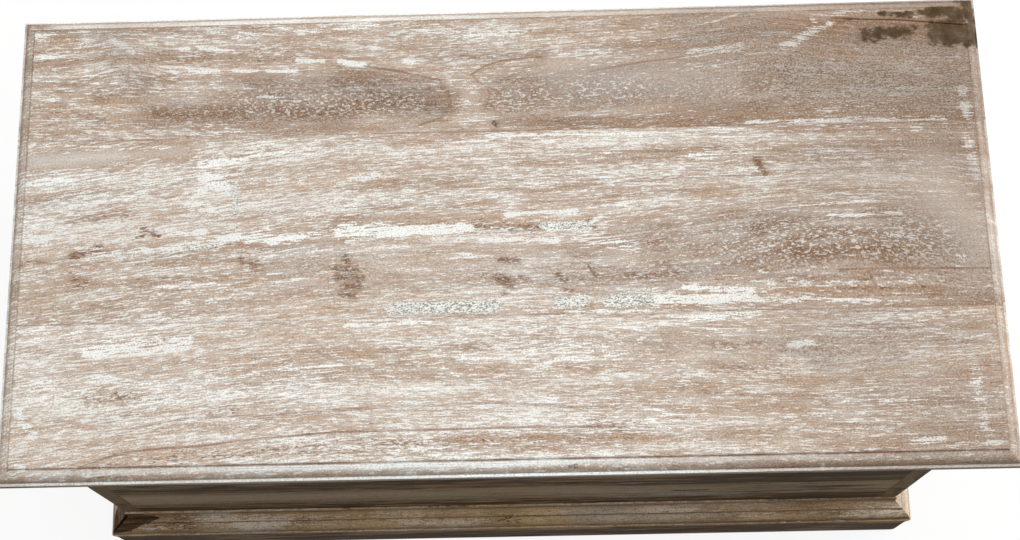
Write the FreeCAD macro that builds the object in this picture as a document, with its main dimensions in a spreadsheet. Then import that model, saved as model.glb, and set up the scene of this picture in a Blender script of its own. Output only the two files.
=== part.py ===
import FreeCAD, Part
import math
import os
import Sketcher
from types import SimpleNamespace
from FreeCAD import Placement, Rotation, Vector

# A limed wooden trunk: boarded walls on a moulded plinth, and a boarded lid on two hinges.
# Millimetres. The origin is on the ground below the middle of the lid, the front looks to -Y.

doc = FreeCAD.newDocument("Trunk")
sheet = doc.addObject("Spreadsheet::Sheet", "Dims")

SIZES = [
    ("lid_length", 900, "lid over its mouldings, left to right"),
    ("lid_depth", 445, "lid over its mouldings, front to back"),
    ("trunk_height", 480, "ground to the top of the lid"),
    ("lid_thickness", 22, "lid boards"),
    ("lid_overhang", 31, "lid beyond the walls on all four sides"),
    ("lid_seat_gap", 0.3, "walls' top edges to the underside of the lid"),
    ("lid_front_board_width", 142.5, "front board of the lid"),
    ("lid_back_board_width", 126.5, "back board of the lid"),
    ("lid_ovolo_radius", 10.5, "round of the lid's edge"),
    ("lid_quirk_depth", 2.5, "step down from the lid's top to the round"),
    ("lid_ledge_width", 2.5, "flat below the round"),
    ("wall_thickness", 18, "boards of the four walls"),
    ("wall_foot_height", 10, "ground to the lower edge of the walls"),
    ("tongue_thickness", 6, "tongues between boards"),
    ("tongue_length", 6, "how far a tongue stands out of its board"),
    ("tongue_end_gap", 0.5, "tongue's end to the bottom of its groove"),
    ("joint_clearance", 0.1, "each side of a tongue in its groove"),
    ("board_bevel", 0.7, "bevel on the outer edges of a board"),
    ("corner_tongue_thickness", 8, "tongues of the front and back in the ends"),
    ("corner_tongue_length", 8, "how far those tongues go into the ends"),
    ("plinth_thickness", 22, "plinth at its foot"),
    ("plinth_face_height", 69, "plain face of the plinth"),
    ("plinth_ledge_width", 2.5, "flat on top of the plain face"),
    ("plinth_quirk_depth", 2.5, "steps above and below the plinth's round"),
    ("plinth_ovolo_radius", 9.5, "round of the plinth"),
    ("plinth_cove_radius", 8, "hollow of the plinth"),
    ("plinth_lip_height", 8.5, "upright lip above the hollow"),
    ("cleat_width", 22, "cleats under the bottom, wall to inner face"),
    ("cleat_height", 28, "cleats under the bottom, upright"),
    ("cleat_top_height", 60, "ground to the top of the cleats"),
    ("cleat_bevel", 4, "bevel on the lower inner edge of a cleat"),
    ("bottom_thickness", 14, "bottom boards"),
    ("bottom_side_gap", 0.8, "bottom boards to the walls"),
    ("batten_width", 60, "battens under the lid, left to right"),
    ("batten_thickness", 18, "battens under the lid, upright"),
    ("batten_bevel", 5, "bevels on the lower edges of a batten"),
    ("batten_wall_gap", 12, "batten's ends to the walls"),
    ("batten_inset", 101, "end walls to the middle of the outer battens"),
    ("hinge_length", 76, "barrel of a hinge"),
    ("hinge_inset", 139, "ends of the back wall to the middle of a hinge"),
    ("hinge_leaf_width", 24, "pin's axis to the leaf's edge"),
    ("hinge_leaf_thickness", 2, "plate of a leaf"),
    ("hinge_knuckle_radius", 3.75, "barrel of a hinge"),
    ("hinge_wood_gap", 0.4, "barrel to the wood beside it"),
    ("hinge_knuckle_gap", 0.3, "one knuckle to the next"),
    ("hinge_pin_radius", 2, "pin of a hinge"),
    ("hinge_pin_clearance", 0.05, "pin to its bore"),
    ("hinge_pin_head_radius", 3.2, "button ends of the pin"),
    ("hinge_pin_head_height", 1.6, "button ends of the pin"),
    ("hinge_screw_offset", 13, "pin's axis to the row of screws"),
    ("hinge_screw_inset", 12, "ends of a hinge to its outer screws"),
    ("hinge_screw_length", 14, "hinge screws"),
    ("hinge_screw_head_radius", 3.2, "hinge screws"),
    ("hinge_screw_shank_radius", 1.6, "hinge screws"),
    ("screw_length", 32, "wood screws"),
    ("screw_head_radius", 4, "wood screws"),
    ("screw_shank_radius", 2, "wood screws"),
    ("screw_tip_length", 5, "point of any screw or nail"),
    ("screw_slot_width", 1.1, "slot in a screw's head"),
    ("screw_slot_depth", 1.1, "slot in a screw's head"),
    ("side_screw_inset", 57, "inner corners to the first screw of a cleat or plinth board"),
    ("plinth_screw_height", 21, "ground to the plinth's screws"),
    ("batten_screw_inset", 26.5, "ends of a batten to its outer screws"),
    ("nail_length", 32, "nails in the bottom boards"),
    ("nail_head_radius", 2.6, "nails in the bottom boards"),
    ("nail_head_height", 1.2, "nails in the bottom boards"),
    ("nail_shank_radius", 1.3, "nails in the bottom boards"),
    ("fastener_clearance", 0.1, "screw or nail to its hole"),
    ("pilot_gap", 0.8, "point of a screw or nail to the end of its hole"),
    ("cut_overrun", 2, "how far a cut runs out of the wood"),
]

WALL_COURSES = 3
TOP_COURSE = WALL_COURSES - 1
BOTTOM_BOARDS = 4
NAILED_ENDS = 2
NAILS_PER_END = 2
BATTENS = 3
BATTEN_SCREWS = 4
LONG_SIDE_SCREWS = 4
SHORT_SIDE_SCREWS = 2
HINGES = 2
HINGE_SCREWS = 3
KNUCKLES = 5
COUNTERSINK_ANGLE = 90

RIGHT = Vector(1, 0, 0)
LEFT = Vector(-1, 0, 0)
BACK = Vector(0, 1, 0)
FRONT = Vector(0, -1, 0)
UP = Vector(0, 0, 1)
DOWN = Vector(0, 0, -1)


class Size:
    # A length that knows its value and the sheet's formula that gives it.
    def __init__(self, value, formula):
        self.value = value
        self.formula = formula

    def __add__(self, other):
        return Size(self.value + other.value, f"({self.formula} + {other.formula})")

    def __sub__(self, other):
        return Size(self.value - other.value, f"({self.formula} - {other.formula})")

    def __mul__(self, factor):
        return Size(self.value * factor, f"({self.formula} * ({factor}))")

    def __rmul__(self, factor):
        return self * factor

    def __truediv__(self, divisor):
        return Size(self.value / divisor, f"({self.formula} / {divisor})")

    def __neg__(self):
        return Size(-self.value, f"(0 - {self.formula})")


ZERO = Size(0, "0")
d = SimpleNamespace()
for row, (alias, value, note) in enumerate(SIZES, start=1):
    sheet.set(f"A{row}", alias)
    sheet.set(f"B{row}", str(value))
    sheet.set(f"C{row}", note)
    sheet.setAlias(f"B{row}", alias)
    setattr(d, alias, Size(value, f"Dims.{alias}"))
doc.recompute()

pieces = {}


# Drawing and cutting

def bind(feature, name, length):
    setattr(feature, name, length.value)
    feature.setExpression(name, length.formula)


def spread(count, run):
    # Places of a row that is run long, about its own middle.
    return [run * (index / (count - 1) - 0.5) for index in range(count)]


def new_piece(label):
    body = doc.addObject("PartDesign::Body", label)
    body.Label = label
    pieces[label] = body
    return body


def place(body, run, rise, x, y, z):
    # The piece's own X axis points along run and its own Z axis along rise.
    body.Placement = Placement(Vector(x.value, y.value, z.value), Rotation(run, rise.cross(run), rise, "ZXY"))
    for axis, length in (("x", x), ("y", y), ("z", z)):
        body.setExpression(f"Placement.Base.{axis}", length.formula)


def new_sketch(body, role, name, lift=ZERO):
    sketch = body.newObject("Sketcher::SketchObject", f"{body.Name}_{name}")
    plane = next(item for item in body.Origin.OriginFeatures if item.Role == role)
    sketch.AttachmentSupport = [(plane, "")]
    sketch.MapMode = "FlatFace"
    sketch.AttachmentOffset = Placement(Vector(0, 0, lift.value), Rotation())
    sketch.setExpression("AttachmentOffset.Base.z", lift.formula)
    return sketch


def hold(sketch, kind, length, *where):
    index = sketch.addConstraint(Sketcher.Constraint(kind, *where, length.value))
    sketch.setExpression(f"Constraints[{index}]", length.formula)


def hold_point(sketch, edge, end, x, y):
    hold(sketch, "DistanceX", x, -1, 1, edge, end)
    hold(sketch, "DistanceY", y, -1, 1, edge, end)


def draw_outline(sketch, corners):
    # Closed outline. A corner with four values is reached by an arc about its last two.
    edges = []
    for index, corner in enumerate(corners):
        before = corners[index - 1]
        start = Vector(before[0].value, before[1].value, 0)
        end = Vector(corner[0].value, corner[1].value, 0)
        if len(corner) == 2:
            edges.append((sketch.addGeometry(Part.LineSegment(start, end)), 1, 2))
            continue
        middle = Vector(corner[2].value, corner[3].value, 0)
        turns_left = (start - middle).cross(end - middle).z > 0
        first, last = (start, end) if turns_left else (end, start)
        angles = [math.atan2(point.y - middle.y, point.x - middle.x) for point in (first, last)]
        circle = Part.Circle(middle, UP, (start - middle).Length)
        edge = sketch.addGeometry(Part.ArcOfCircle(circle, *angles))
        edges.append((edge, 1, 2) if turns_left else (edge, 2, 1))
    for index, (edge, start, end) in enumerate(edges):
        before, _, before_end = edges[index - 1]
        sketch.addConstraint(Sketcher.Constraint("Coincident", before, before_end, edge, start))
        hold_point(sketch, edge, end, *corners[index][:2])
        if len(corners[index]) == 4:
            hold(sketch, "DistanceX", corners[index][2], -1, 1, edge, 3)


def draw_box(sketch, x_low, x_high, y_low, y_high):
    draw_outline(sketch, [(x_low, y_low), (x_high, y_low), (x_high, y_high), (x_low, y_high)])


def draw_circles(sketch, centres, radius):
    for x, y in centres:
        circle = sketch.addGeometry(Part.Circle(Vector(x.value, y.value, 0), UP, radius.value))
        hold_point(sketch, circle, 3, x, y)
        hold(sketch, "Radius", radius, circle)


def pad(body, sketch, length):
    feature = body.newObject("PartDesign::Pad", f"{sketch.Name}_pad")
    feature.Profile = sketch
    feature.SideType = "Symmetric"
    bind(feature, "Length", length)


def revolve(body, sketch, axis):
    feature = body.newObject("PartDesign::Revolution", f"{sketch.Name}_turned")
    feature.Profile = sketch
    feature.ReferenceAxis = (sketch, [axis])
    feature.Angle = 360
    return feature


def cut_through(body, sketch):
    feature = body.newObject("PartDesign::Pocket", f"{sketch.Name}_cut")
    feature.Profile = sketch
    feature.Type = "ThroughAll"
    feature.SideType = "Symmetric"


def cut_to_depth(body, sketch, depth, along_normal):
    feature = body.newObject("PartDesign::Pocket", f"{sketch.Name}_cut")
    feature.Profile = sketch
    feature.Reversed = along_normal
    bind(feature, "Length", depth)
    return feature


def bore(body, name, lift, centres, shank_radius, head_radius):
    # Countersunk holes through the piece, for screws that go in at y = -lift and point to -Y.
    sketch = new_sketch(body, "XZ_Plane", name, lift)
    draw_circles(sketch, centres, shank_radius + d.fastener_clearance)
    doc.recompute()
    hole = body.newObject("PartDesign::Hole", f"{sketch.Name}_hole")
    hole.Profile = sketch
    hole.Reversed = True
    hole.DepthType = "ThroughAll"
    bind(hole, "Diameter", 2 * (shank_radius + d.fastener_clearance))
    hole.HoleCutType = "Countersink"
    hole.HoleCutCustomValues = True
    bind(hole, "HoleCutDiameter", 2 * (head_radius + d.fastener_clearance))
    hole.HoleCutCountersinkAngle = COUNTERSINK_ANGLE


def drill(body, name, lift, centres, shank_radius, depth, along_normal=True, role="XZ_Plane"):
    # Blind holes for the points of screws and nails. From the XZ plane they point to -Y, or else to +Y.
    sketch = new_sketch(body, role, name, lift)
    draw_circles(sketch, centres, shank_radius + d.fastener_clearance)
    cut_to_depth(body, sketch, depth + d.pilot_gap, along_normal)


# Lengths that several pieces share

wall_length = d.lid_length - 2 * d.lid_overhang
wall_depth = d.lid_depth - 2 * d.lid_overhang
lid_underside = d.trunk_height - d.lid_thickness
wall_height = lid_underside - d.lid_seat_gap - d.wall_foot_height
course_height = wall_height / WALL_COURSES
inside_length = wall_length - 2 * d.wall_thickness
inside_depth = wall_depth - 2 * d.wall_thickness
groove_depth = d.tongue_length + d.tongue_end_gap
lid_round_depth = d.lid_quirk_depth + d.lid_ovolo_radius
lid_round_width = d.lid_ledge_width + d.lid_ovolo_radius
cleat_screw_height = d.cleat_top_height - d.cleat_height / 2
pin_offset = d.hinge_knuckle_radius + d.hinge_wood_gap
pin_back = wall_depth / 2 + pin_offset
pin_height = lid_underside - pin_offset
bottom_board_width = (inside_depth - 2 * d.bottom_side_gap) / BOTTOM_BOARDS
nail_reach = inside_length / 2 - d.cleat_width / 2
nail_run = bottom_board_width * (BOTTOM_BOARDS - 1 / NAILS_PER_END)
nail_places = spread(NAILS_PER_END * BOTTOM_BOARDS, nail_run)
batten_run = inside_length - 2 * d.batten_inset
batten_places = spread(BATTENS, batten_run)
batten_length = inside_depth - 2 * d.batten_wall_gap
batten_screw_run = batten_length - 2 * d.batten_screw_inset
batten_screw_places = spread(BATTEN_SCREWS, batten_screw_run)
hinge_run = wall_length - 2 * d.hinge_inset
hinge_places = spread(HINGES, hinge_run)
hinge_screw_run = d.hinge_length - 2 * d.hinge_screw_inset
hinge_screw_places = spread(HINGE_SCREWS, hinge_screw_run)
all_hinge_screws = [hinge + screw for hinge in hinge_places for screw in hinge_screw_places]


def new_side(run, length, across, screws):
    # A side's direction, its length, the trunk's size across it and the screws along it.
    screw_run = length - 2 * d.wall_thickness - 2 * d.side_screw_inset
    places = spread(screws, screw_run)
    return SimpleNamespace(run=run, length=length, across=across, screw_run=screw_run, screw_places=places)


SIDES = {
    "front": new_side(RIGHT, wall_length, wall_depth, LONG_SIDE_SCREWS),
    "back": new_side(LEFT, wall_length, wall_depth, LONG_SIDE_SCREWS),
    "left": new_side(FRONT, wall_depth, wall_length, SHORT_SIDE_SCREWS),
    "right": new_side(BACK, wall_depth, wall_length, SHORT_SIDE_SCREWS),
}
END_SIDES = ("left", "right")


def place_on_side(body, side, height, inward=ZERO):
    # The piece's own Y axis points into the trunk and starts at the walls' outer face, plus inward.
    run = SIDES[side].run
    into = UP.cross(run)
    reach = SIDES[side].across / 2 - inward
    place(body, run, UP, reach * -into.x, reach * -into.y, height)


# Boards. Their face is at y = 0, their back at y = thickness and their width runs along Z.

def board_corners(thickness, width, grooved, tongued):
    side = (thickness - d.tongue_thickness) / 2
    near, far = side - d.joint_clearance, thickness - side + d.joint_clearance
    corners = [(ZERO, d.board_bevel), (d.board_bevel, ZERO)]
    if grooved:
        corners += [(near, ZERO), (near, groove_depth), (far, groove_depth), (far, ZERO)]
    corners += [(thickness, ZERO), (thickness, width)]
    if tongued:
        top = width + d.tongue_length
        corners += [(thickness - side, width), (thickness - side, top), (side, top), (side, width)]
    return corners + [(d.board_bevel, width), (ZERO, width - d.board_bevel)]


def new_board(label, thickness, width, length, grooved, tongued):
    body = new_piece(label)
    section = new_sketch(body, "YZ_Plane", "section")
    draw_outline(section, board_corners(thickness, width, grooved, tongued))
    pad(body, section, length)
    return body


# Walls. The front and back have tongues at both ends that stand in upright grooves of the end walls.

def new_wall_board(side, course, course_name):
    length = SIDES[side].length
    is_end = side in END_SIDES
    full_length = length if is_end else inside_length + 2 * d.corner_tongue_length
    label = f"{side}_wall_{course_name}_board"
    grooved, tongued = course > 0, course < TOP_COURSE
    body = new_board(label, d.wall_thickness, course_height, full_length, grooved, tongued)
    joint = new_sketch(body, "XY_Plane", "corner_joint")
    tongue_face = d.wall_thickness - d.corner_tongue_thickness
    for hand in (-1, 1):
        if is_end:
            near = length / 2 - d.wall_thickness - d.joint_clearance
            far = length / 2 - tongue_face + d.joint_clearance
            groove_floor = d.wall_thickness - d.corner_tongue_length - d.tongue_end_gap
            draw_box(joint, near * hand, far * hand, groove_floor, d.wall_thickness + d.cut_overrun)
        else:
            near = inside_length / 2
            far = full_length / 2 + d.cut_overrun
            draw_box(joint, near * hand, far * hand, -d.cut_overrun, tongue_face)
    cut_through(body, joint)
    if course == 0:
        drill_lowest_board(body, SIDES[side].screw_places)
    if side == "back" and course == TOP_COURSE:
        drill_hinge_holes(body)
    place_on_side(body, side, d.wall_foot_height + course_height * course)


def drill_lowest_board(body, screws):
    plinth_centres = [(x, d.plinth_screw_height - d.wall_foot_height) for x in screws]
    bore(body, "plinth_holes", -d.wall_thickness, plinth_centres, d.screw_shank_radius, d.screw_head_radius)
    cleat_centres = [(x, cleat_screw_height - d.wall_foot_height) for x in screws]
    cleat_depth = d.screw_length - d.cleat_width
    drill(body, "cleat_holes", -d.wall_thickness, cleat_centres, d.screw_shank_radius, cleat_depth)


def drill_hinge_holes(body):
    # The row below the pins, from the outer face inward.
    row = pin_height - d.hinge_screw_offset - d.wall_foot_height - course_height * TOP_COURSE
    centres = [(x, row) for x in all_hinge_screws]
    depth = d.hinge_screw_length - d.hinge_leaf_thickness
    drill(body, "hinge_holes", ZERO, centres, d.hinge_screw_shank_radius, depth, along_normal=False)


for side in SIDES:
    for course, course_name in enumerate(("lower", "middle", "upper")):
        new_wall_board(side, course, course_name)


# Plinth. From the foot up: a plain face, a ledge, a step, a round, a step, a hollow and a lip.

def new_plinth_board(side):
    length = SIDES[side].length
    body = new_piece(f"{side}_plinth_board")
    round_out = d.plinth_thickness - d.plinth_ledge_width
    round_in = round_out - d.plinth_ovolo_radius
    lip = round_in - d.plinth_cove_radius
    round_foot = d.plinth_face_height + d.plinth_quirk_depth
    round_top = round_foot + d.plinth_ovolo_radius
    cove_foot = round_top + d.plinth_quirk_depth
    cove_top = cove_foot + d.plinth_cove_radius
    top = cove_top + d.plinth_lip_height
    section = new_sketch(body, "YZ_Plane", "section")
    draw_outline(section, [
        (ZERO, ZERO),
        (-d.plinth_thickness, ZERO),
        (-d.plinth_thickness, d.plinth_face_height),
        (-round_out, d.plinth_face_height),
        (-round_out, round_foot),
        (-round_in, round_top, -round_in, round_foot),
        (-round_in, cove_foot),
        (-lip, cove_top, -round_in, cove_top),
        (-lip, top),
        (ZERO, top),
    ])
    pad(body, section, length + 2 * d.plinth_thickness)
    mitre = new_sketch(body, "XY_Plane", "mitre")
    for hand in (-1, 1):
        near = length / 2 - d.cut_overrun
        far = length / 2 + d.plinth_thickness + d.cut_overrun
        outer = -d.plinth_thickness - d.cut_overrun
        draw_outline(mitre, [(near * hand, d.cut_overrun), (far * hand, outer), (far * hand, d.cut_overrun)])
    cut_through(body, mitre)
    centres = [(x, d.plinth_screw_height) for x in SIDES[side].screw_places]
    drill(body, "screw_holes", ZERO, centres, d.screw_shank_radius, d.screw_length - d.wall_thickness)
    place_on_side(body, side, ZERO)


for side in SIDES:
    new_plinth_board(side)


# Bottom. Cleats are screwed to the walls; the end cleats run the whole depth and take the nails.

def new_cleat(side):
    is_end = side in END_SIDES
    body = new_piece(f"{side}_bottom_cleat")
    section = new_sketch(body, "YZ_Plane", "section")
    draw_outline(section, [
        (ZERO, ZERO),
        (d.cleat_width - d.cleat_bevel, ZERO),
        (d.cleat_width, d.cleat_bevel),
        (d.cleat_width, d.cleat_height),
        (ZERO, d.cleat_height),
    ])
    pad(body, section, inside_depth if is_end else inside_length - 2 * d.cleat_width)
    centres = [(x, d.cleat_height / 2) for x in SIDES[side].screw_places]
    bore(body, "screw_holes", -d.cleat_width, centres, d.screw_shank_radius, d.screw_head_radius)
    if is_end:
        nails = [(x, d.cleat_width / 2) for x in nail_places]
        depth = d.nail_length - d.bottom_thickness
        drill(body, "nail_holes", d.cleat_height, nails, d.nail_shank_radius, depth, False, "XY_Plane")
    place_on_side(body, side, d.cleat_top_height - d.cleat_height, d.wall_thickness)


def new_bottom_board(index):
    label = f"bottom_board_{index + 1}"
    length = inside_length - 2 * d.bottom_side_gap
    grooved, tongued = index > 0, index < BOTTOM_BOARDS - 1
    body = new_board(label, d.bottom_thickness, bottom_board_width, length, grooved, tongued)
    front = d.bottom_side_gap - inside_depth / 2 + bottom_board_width * index
    rows = nail_places[NAILS_PER_END * index:NAILS_PER_END * (index + 1)]
    nails = [(nail_reach * hand, row - front) for hand in (-1, 1) for row in rows]
    sketch = new_sketch(body, "XZ_Plane", "nail_holes")
    draw_circles(sketch, nails, d.nail_shank_radius + d.fastener_clearance)
    cut_through(body, sketch)
    heads = new_sketch(body, "XZ_Plane", "nail_heads")
    draw_circles(heads, nails, d.nail_head_radius + d.fastener_clearance)
    cut_to_depth(body, heads, d.nail_head_height, along_normal=False)
    place(body, RIGHT, BACK, ZERO, front, d.cleat_top_height + d.bottom_thickness)


for side in SIDES:
    new_cleat(side)
for index in range(BOTTOM_BOARDS):
    new_bottom_board(index)


# Lid. The round with its step and ledge runs along the outer boards and across the ends of all three.

def lid_corners(width, front_edge, back_edge):
    corners = board_corners(d.lid_thickness, width, not front_edge, not back_edge)
    if front_edge:
        corners = [
            (d.lid_quirk_depth, lid_round_width),
            (lid_round_depth, d.lid_ledge_width, lid_round_depth, lid_round_width),
            (lid_round_depth, ZERO),
        ] + corners[2:] + [(ZERO, lid_round_width)]
    if back_edge:
        ledge = width - d.lid_ledge_width
        step = width - lid_round_width
        corners = corners[:-2] + [
            (lid_round_depth, width),
            (lid_round_depth, ledge),
            (d.lid_quirk_depth, step, lid_round_depth, step),
            (ZERO, step),
        ]
    return corners


def new_lid_board(place_name, width, front):
    body = new_piece(f"lid_{place_name}_board")
    section = new_sketch(body, "YZ_Plane", "section")
    draw_outline(section, lid_corners(width, place_name == "front", place_name == "back"))
    pad(body, section, d.lid_length)
    ends = new_sketch(body, "XY_Plane", "end_moulding")
    for hand in (-1, 1):
        outer = (d.lid_length / 2 + d.cut_overrun) * hand
        ledge = (d.lid_length / 2 - d.lid_ledge_width) * hand
        step = (d.lid_length / 2 - lid_round_width) * hand
        draw_outline(ends, [
            (outer, lid_round_depth),
            (ledge, lid_round_depth),
            (step, d.lid_quirk_depth, step, lid_round_depth),
            (step, -d.cut_overrun),
            (outer, -d.cut_overrun),
        ])
    cut_through(body, ends)
    centres = [(x, y - front) for x in batten_places for y in batten_screw_places]
    depth = d.screw_length - d.batten_thickness
    drill(body, "batten_holes", -d.lid_thickness, centres, d.screw_shank_radius, depth)
    if place_name == "back":
        row = pin_back + d.hinge_screw_offset - front
        centres = [(x, row) for x in all_hinge_screws]
        depth = d.hinge_screw_length - d.hinge_leaf_thickness
        drill(body, "hinge_holes", -d.lid_thickness, centres, d.hinge_screw_shank_radius, depth)
    place(body, RIGHT, BACK, ZERO, front, d.trunk_height)


lid_front = -d.lid_depth / 2
lid_middle_board_width = d.lid_depth - d.lid_front_board_width - d.lid_back_board_width
new_lid_board("front", d.lid_front_board_width, lid_front)
new_lid_board("middle", lid_middle_board_width, lid_front + d.lid_front_board_width)
new_lid_board("back", d.lid_back_board_width, d.lid_depth / 2 - d.lid_back_board_width)


# Battens across the lid boards, bevelled along their lower edges and at both ends.

def new_batten(place_name, across):
    body = new_piece(f"lid_{place_name}_batten")
    half = d.batten_width / 2
    shoulder = d.batten_thickness - d.batten_bevel
    section = new_sketch(body, "YZ_Plane", "section")
    draw_outline(section, [
        (ZERO, -half),
        (shoulder, -half),
        (d.batten_thickness, d.batten_bevel - half),
        (d.batten_thickness, half - d.batten_bevel),
        (shoulder, half),
        (ZERO, half),
    ])
    pad(body, section, batten_length)
    ends = new_sketch(body, "XY_Plane", "end_bevels")
    for hand in (-1, 1):
        tip = (batten_length / 2 + d.cut_overrun) * hand
        inner = (batten_length / 2 - d.batten_bevel - d.cut_overrun) * hand
        draw_outline(ends, [
            (tip, shoulder - d.cut_overrun),
            (tip, d.batten_thickness + d.cut_overrun),
            (inner, d.batten_thickness + d.cut_overrun),
        ])
    cut_through(body, ends)
    centres = [(x, ZERO) for x in batten_screw_places]
    bore(body, "screw_holes", -d.batten_thickness, centres, d.screw_shank_radius, d.screw_head_radius)
    place(body, BACK, LEFT, across, ZERO, lid_underside)


for place_name, across in zip(("left", "middle", "right"), batten_places):
    new_batten(place_name, across)


# Hinges. The pin's axis is the leaf's own X axis; the plate hangs down its -Z side, wood at -Y.

def new_hinge_leaf(label, first_knuckle):
    body = new_piece(label)
    barrel = new_sketch(body, "YZ_Plane", "barrel")
    draw_circles(barrel, [(ZERO, ZERO)], d.hinge_knuckle_radius)
    pad(body, barrel, d.hinge_length)
    plate = new_sketch(body, "YZ_Plane", "plate")
    plate_face = d.hinge_leaf_thickness - pin_offset
    draw_box(plate, -pin_offset, plate_face, -d.hinge_leaf_width, ZERO)
    pad(body, plate, d.hinge_length)
    pin_bore = new_sketch(body, "YZ_Plane", "pin_bore")
    draw_circles(pin_bore, [(ZERO, ZERO)], d.hinge_pin_radius + d.hinge_pin_clearance)
    cut_through(body, pin_bore)
    gaps = new_sketch(body, "XZ_Plane", "knuckle_gaps")
    knuckle = d.hinge_length / KNUCKLES
    for index in range(1 - first_knuckle, KNUCKLES, 2):
        low = knuckle * index - d.hinge_length / 2 - d.hinge_knuckle_gap / 2
        high = knuckle * (index + 1) - d.hinge_length / 2 + d.hinge_knuckle_gap / 2
        draw_box(gaps, low, high, -pin_offset, pin_offset)
    cut_through(body, gaps)
    centres = [(x, -d.hinge_screw_offset) for x in hinge_screw_places]
    bore(body, "screw_holes", -plate_face, centres, d.hinge_screw_shank_radius, d.hinge_screw_head_radius)
    return body


def new_hinge_pin(label):
    body = new_piece(label)
    section = new_sketch(body, "XZ_Plane", "section")
    shank = d.hinge_length / 2 + d.hinge_knuckle_gap
    end = shank + d.hinge_pin_head_height
    edge = d.hinge_pin_head_radius - d.hinge_pin_head_height / 2
    middle = shank + d.hinge_pin_head_height / 2
    draw_outline(section, [
        (-end, ZERO),
        (end, ZERO),
        (end, edge),
        (middle, d.hinge_pin_head_radius),
        (shank, d.hinge_pin_head_radius),
        (shank, d.hinge_pin_radius),
        (-shank, d.hinge_pin_radius),
        (-shank, d.hinge_pin_head_radius),
        (-middle, d.hinge_pin_head_radius),
        (-end, edge),
    ])
    revolve(body, section, "H_Axis")
    return body


for hand, across in zip(("left", "right"), hinge_places):
    place(new_hinge_leaf(f"{hand}_hinge_wall_leaf", 0), RIGHT, UP, across, pin_back, pin_height)
    place(new_hinge_leaf(f"{hand}_hinge_lid_leaf", 1), LEFT, FRONT, across, pin_back, pin_height)
    place(new_hinge_pin(f"{hand}_hinge_pin"), RIGHT, UP, across, pin_back, pin_height)


# Fasteners. The head's top is at z = 0 and the point at +Z; a group repeats along X and along Y.

def repeat(body, originals, rows):
    body.AllowCompound = True
    pattern = body.newObject("PartDesign::LinearPattern", f"{body.Name}_rows")
    pattern.Originals = originals
    for suffix, (role, count, run) in zip(("", "2"), rows):
        axis = next(item for item in body.Origin.OriginFeatures if item.Role == role)
        setattr(pattern, f"Direction{suffix}", (axis, [""]))
        setattr(pattern, f"Occurrences{suffix}", count)
        bind(pattern, f"Length{suffix}", run)
    body.Tip = pattern


def new_screws(label, length, head_radius, shank_radius, rows):
    body = new_piece(label)
    section = new_sketch(body, "XZ_Plane", "section")
    draw_outline(section, [
        (ZERO, ZERO),
        (head_radius, ZERO),
        (shank_radius, head_radius - shank_radius),
        (shank_radius, length - d.screw_tip_length),
        (ZERO, length),
    ])
    turned = revolve(body, section, "V_Axis")
    slot = new_sketch(body, "XY_Plane", "slot")
    reach = head_radius + d.cut_overrun
    draw_box(slot, -reach, reach, -d.screw_slot_width / 2, d.screw_slot_width / 2)
    slotted = cut_to_depth(body, slot, d.screw_slot_depth, along_normal=True)
    repeat(body, [turned, slotted], rows)
    return body


def new_side_screws(name, height, inward):
    # One row on each side, driven outward, joined as one group.
    rows = []
    for name_of_side, side in SIDES.items():
        places = side.screw_places
        row = new_screws(f"{name_of_side}_{name}", *wood_screw, [("X_Axis", len(places), side.screw_run)])
        out = -UP.cross(side.run)
        reach = side.across / 2 - inward
        x = reach * out.x + places[0] * side.run.x
        y = reach * out.y + places[0] * side.run.y
        place(row, side.run, out, x, y, height)
        rows.append(pieces.pop(row.Label))
    group = doc.addObject("Part::Compound", name)
    group.Label = name
    group.Links = rows
    pieces[name] = group


def new_nails(label, rows):
    body = new_piece(label)
    section = new_sketch(body, "XZ_Plane", "section")
    draw_outline(section, [
        (ZERO, ZERO),
        (d.nail_head_radius, ZERO),
        (d.nail_head_radius, d.nail_head_height),
        (d.nail_shank_radius, d.nail_head_height),
        (d.nail_shank_radius, d.nail_length - d.screw_tip_length),
        (ZERO, d.nail_length),
    ])
    repeat(body, [revolve(body, section, "V_Axis")], rows)
    return body


wood_screw = (d.screw_length, d.screw_head_radius, d.screw_shank_radius)
new_side_screws("plinth_screws", d.plinth_screw_height, d.wall_thickness)
new_side_screws("cleat_screws", cleat_screw_height, d.wall_thickness + d.cleat_width)
batten_rows = [("X_Axis", BATTENS, batten_run), ("Y_Axis", BATTEN_SCREWS, batten_screw_run)]
batten_screws = new_screws("batten_screws", *wood_screw, batten_rows)
place(batten_screws, RIGHT, UP, batten_places[0], batten_screw_places[0], lid_underside - d.batten_thickness)

hinge_rows = [("X_Axis", HINGES, hinge_run), ("X_Axis", HINGE_SCREWS, hinge_screw_run)]
hinge_screw = (d.hinge_screw_length, d.hinge_screw_head_radius, d.hinge_screw_shank_radius)
wall_screws = new_screws("hinge_wall_screws", *hinge_screw, hinge_rows)
plate_back = wall_depth / 2 + d.hinge_leaf_thickness
place(wall_screws, RIGHT, FRONT, all_hinge_screws[0], plate_back, pin_height - d.hinge_screw_offset)
lid_screws = new_screws("hinge_lid_screws", *hinge_screw, hinge_rows)
plate_low = lid_underside - d.hinge_leaf_thickness
place(lid_screws, RIGHT, UP, all_hinge_screws[0], pin_back + d.hinge_screw_offset, plate_low)

nail_rows = [("X_Axis", NAILED_ENDS, 2 * nail_reach), ("Y_Axis", NAILS_PER_END * BOTTOM_BOARDS, nail_run)]
bottom_nails = new_nails("bottom_nails", nail_rows)
place(bottom_nails, RIGHT, DOWN, -nail_reach, nail_places[-1], d.cleat_top_height + d.bottom_thickness)

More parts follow.
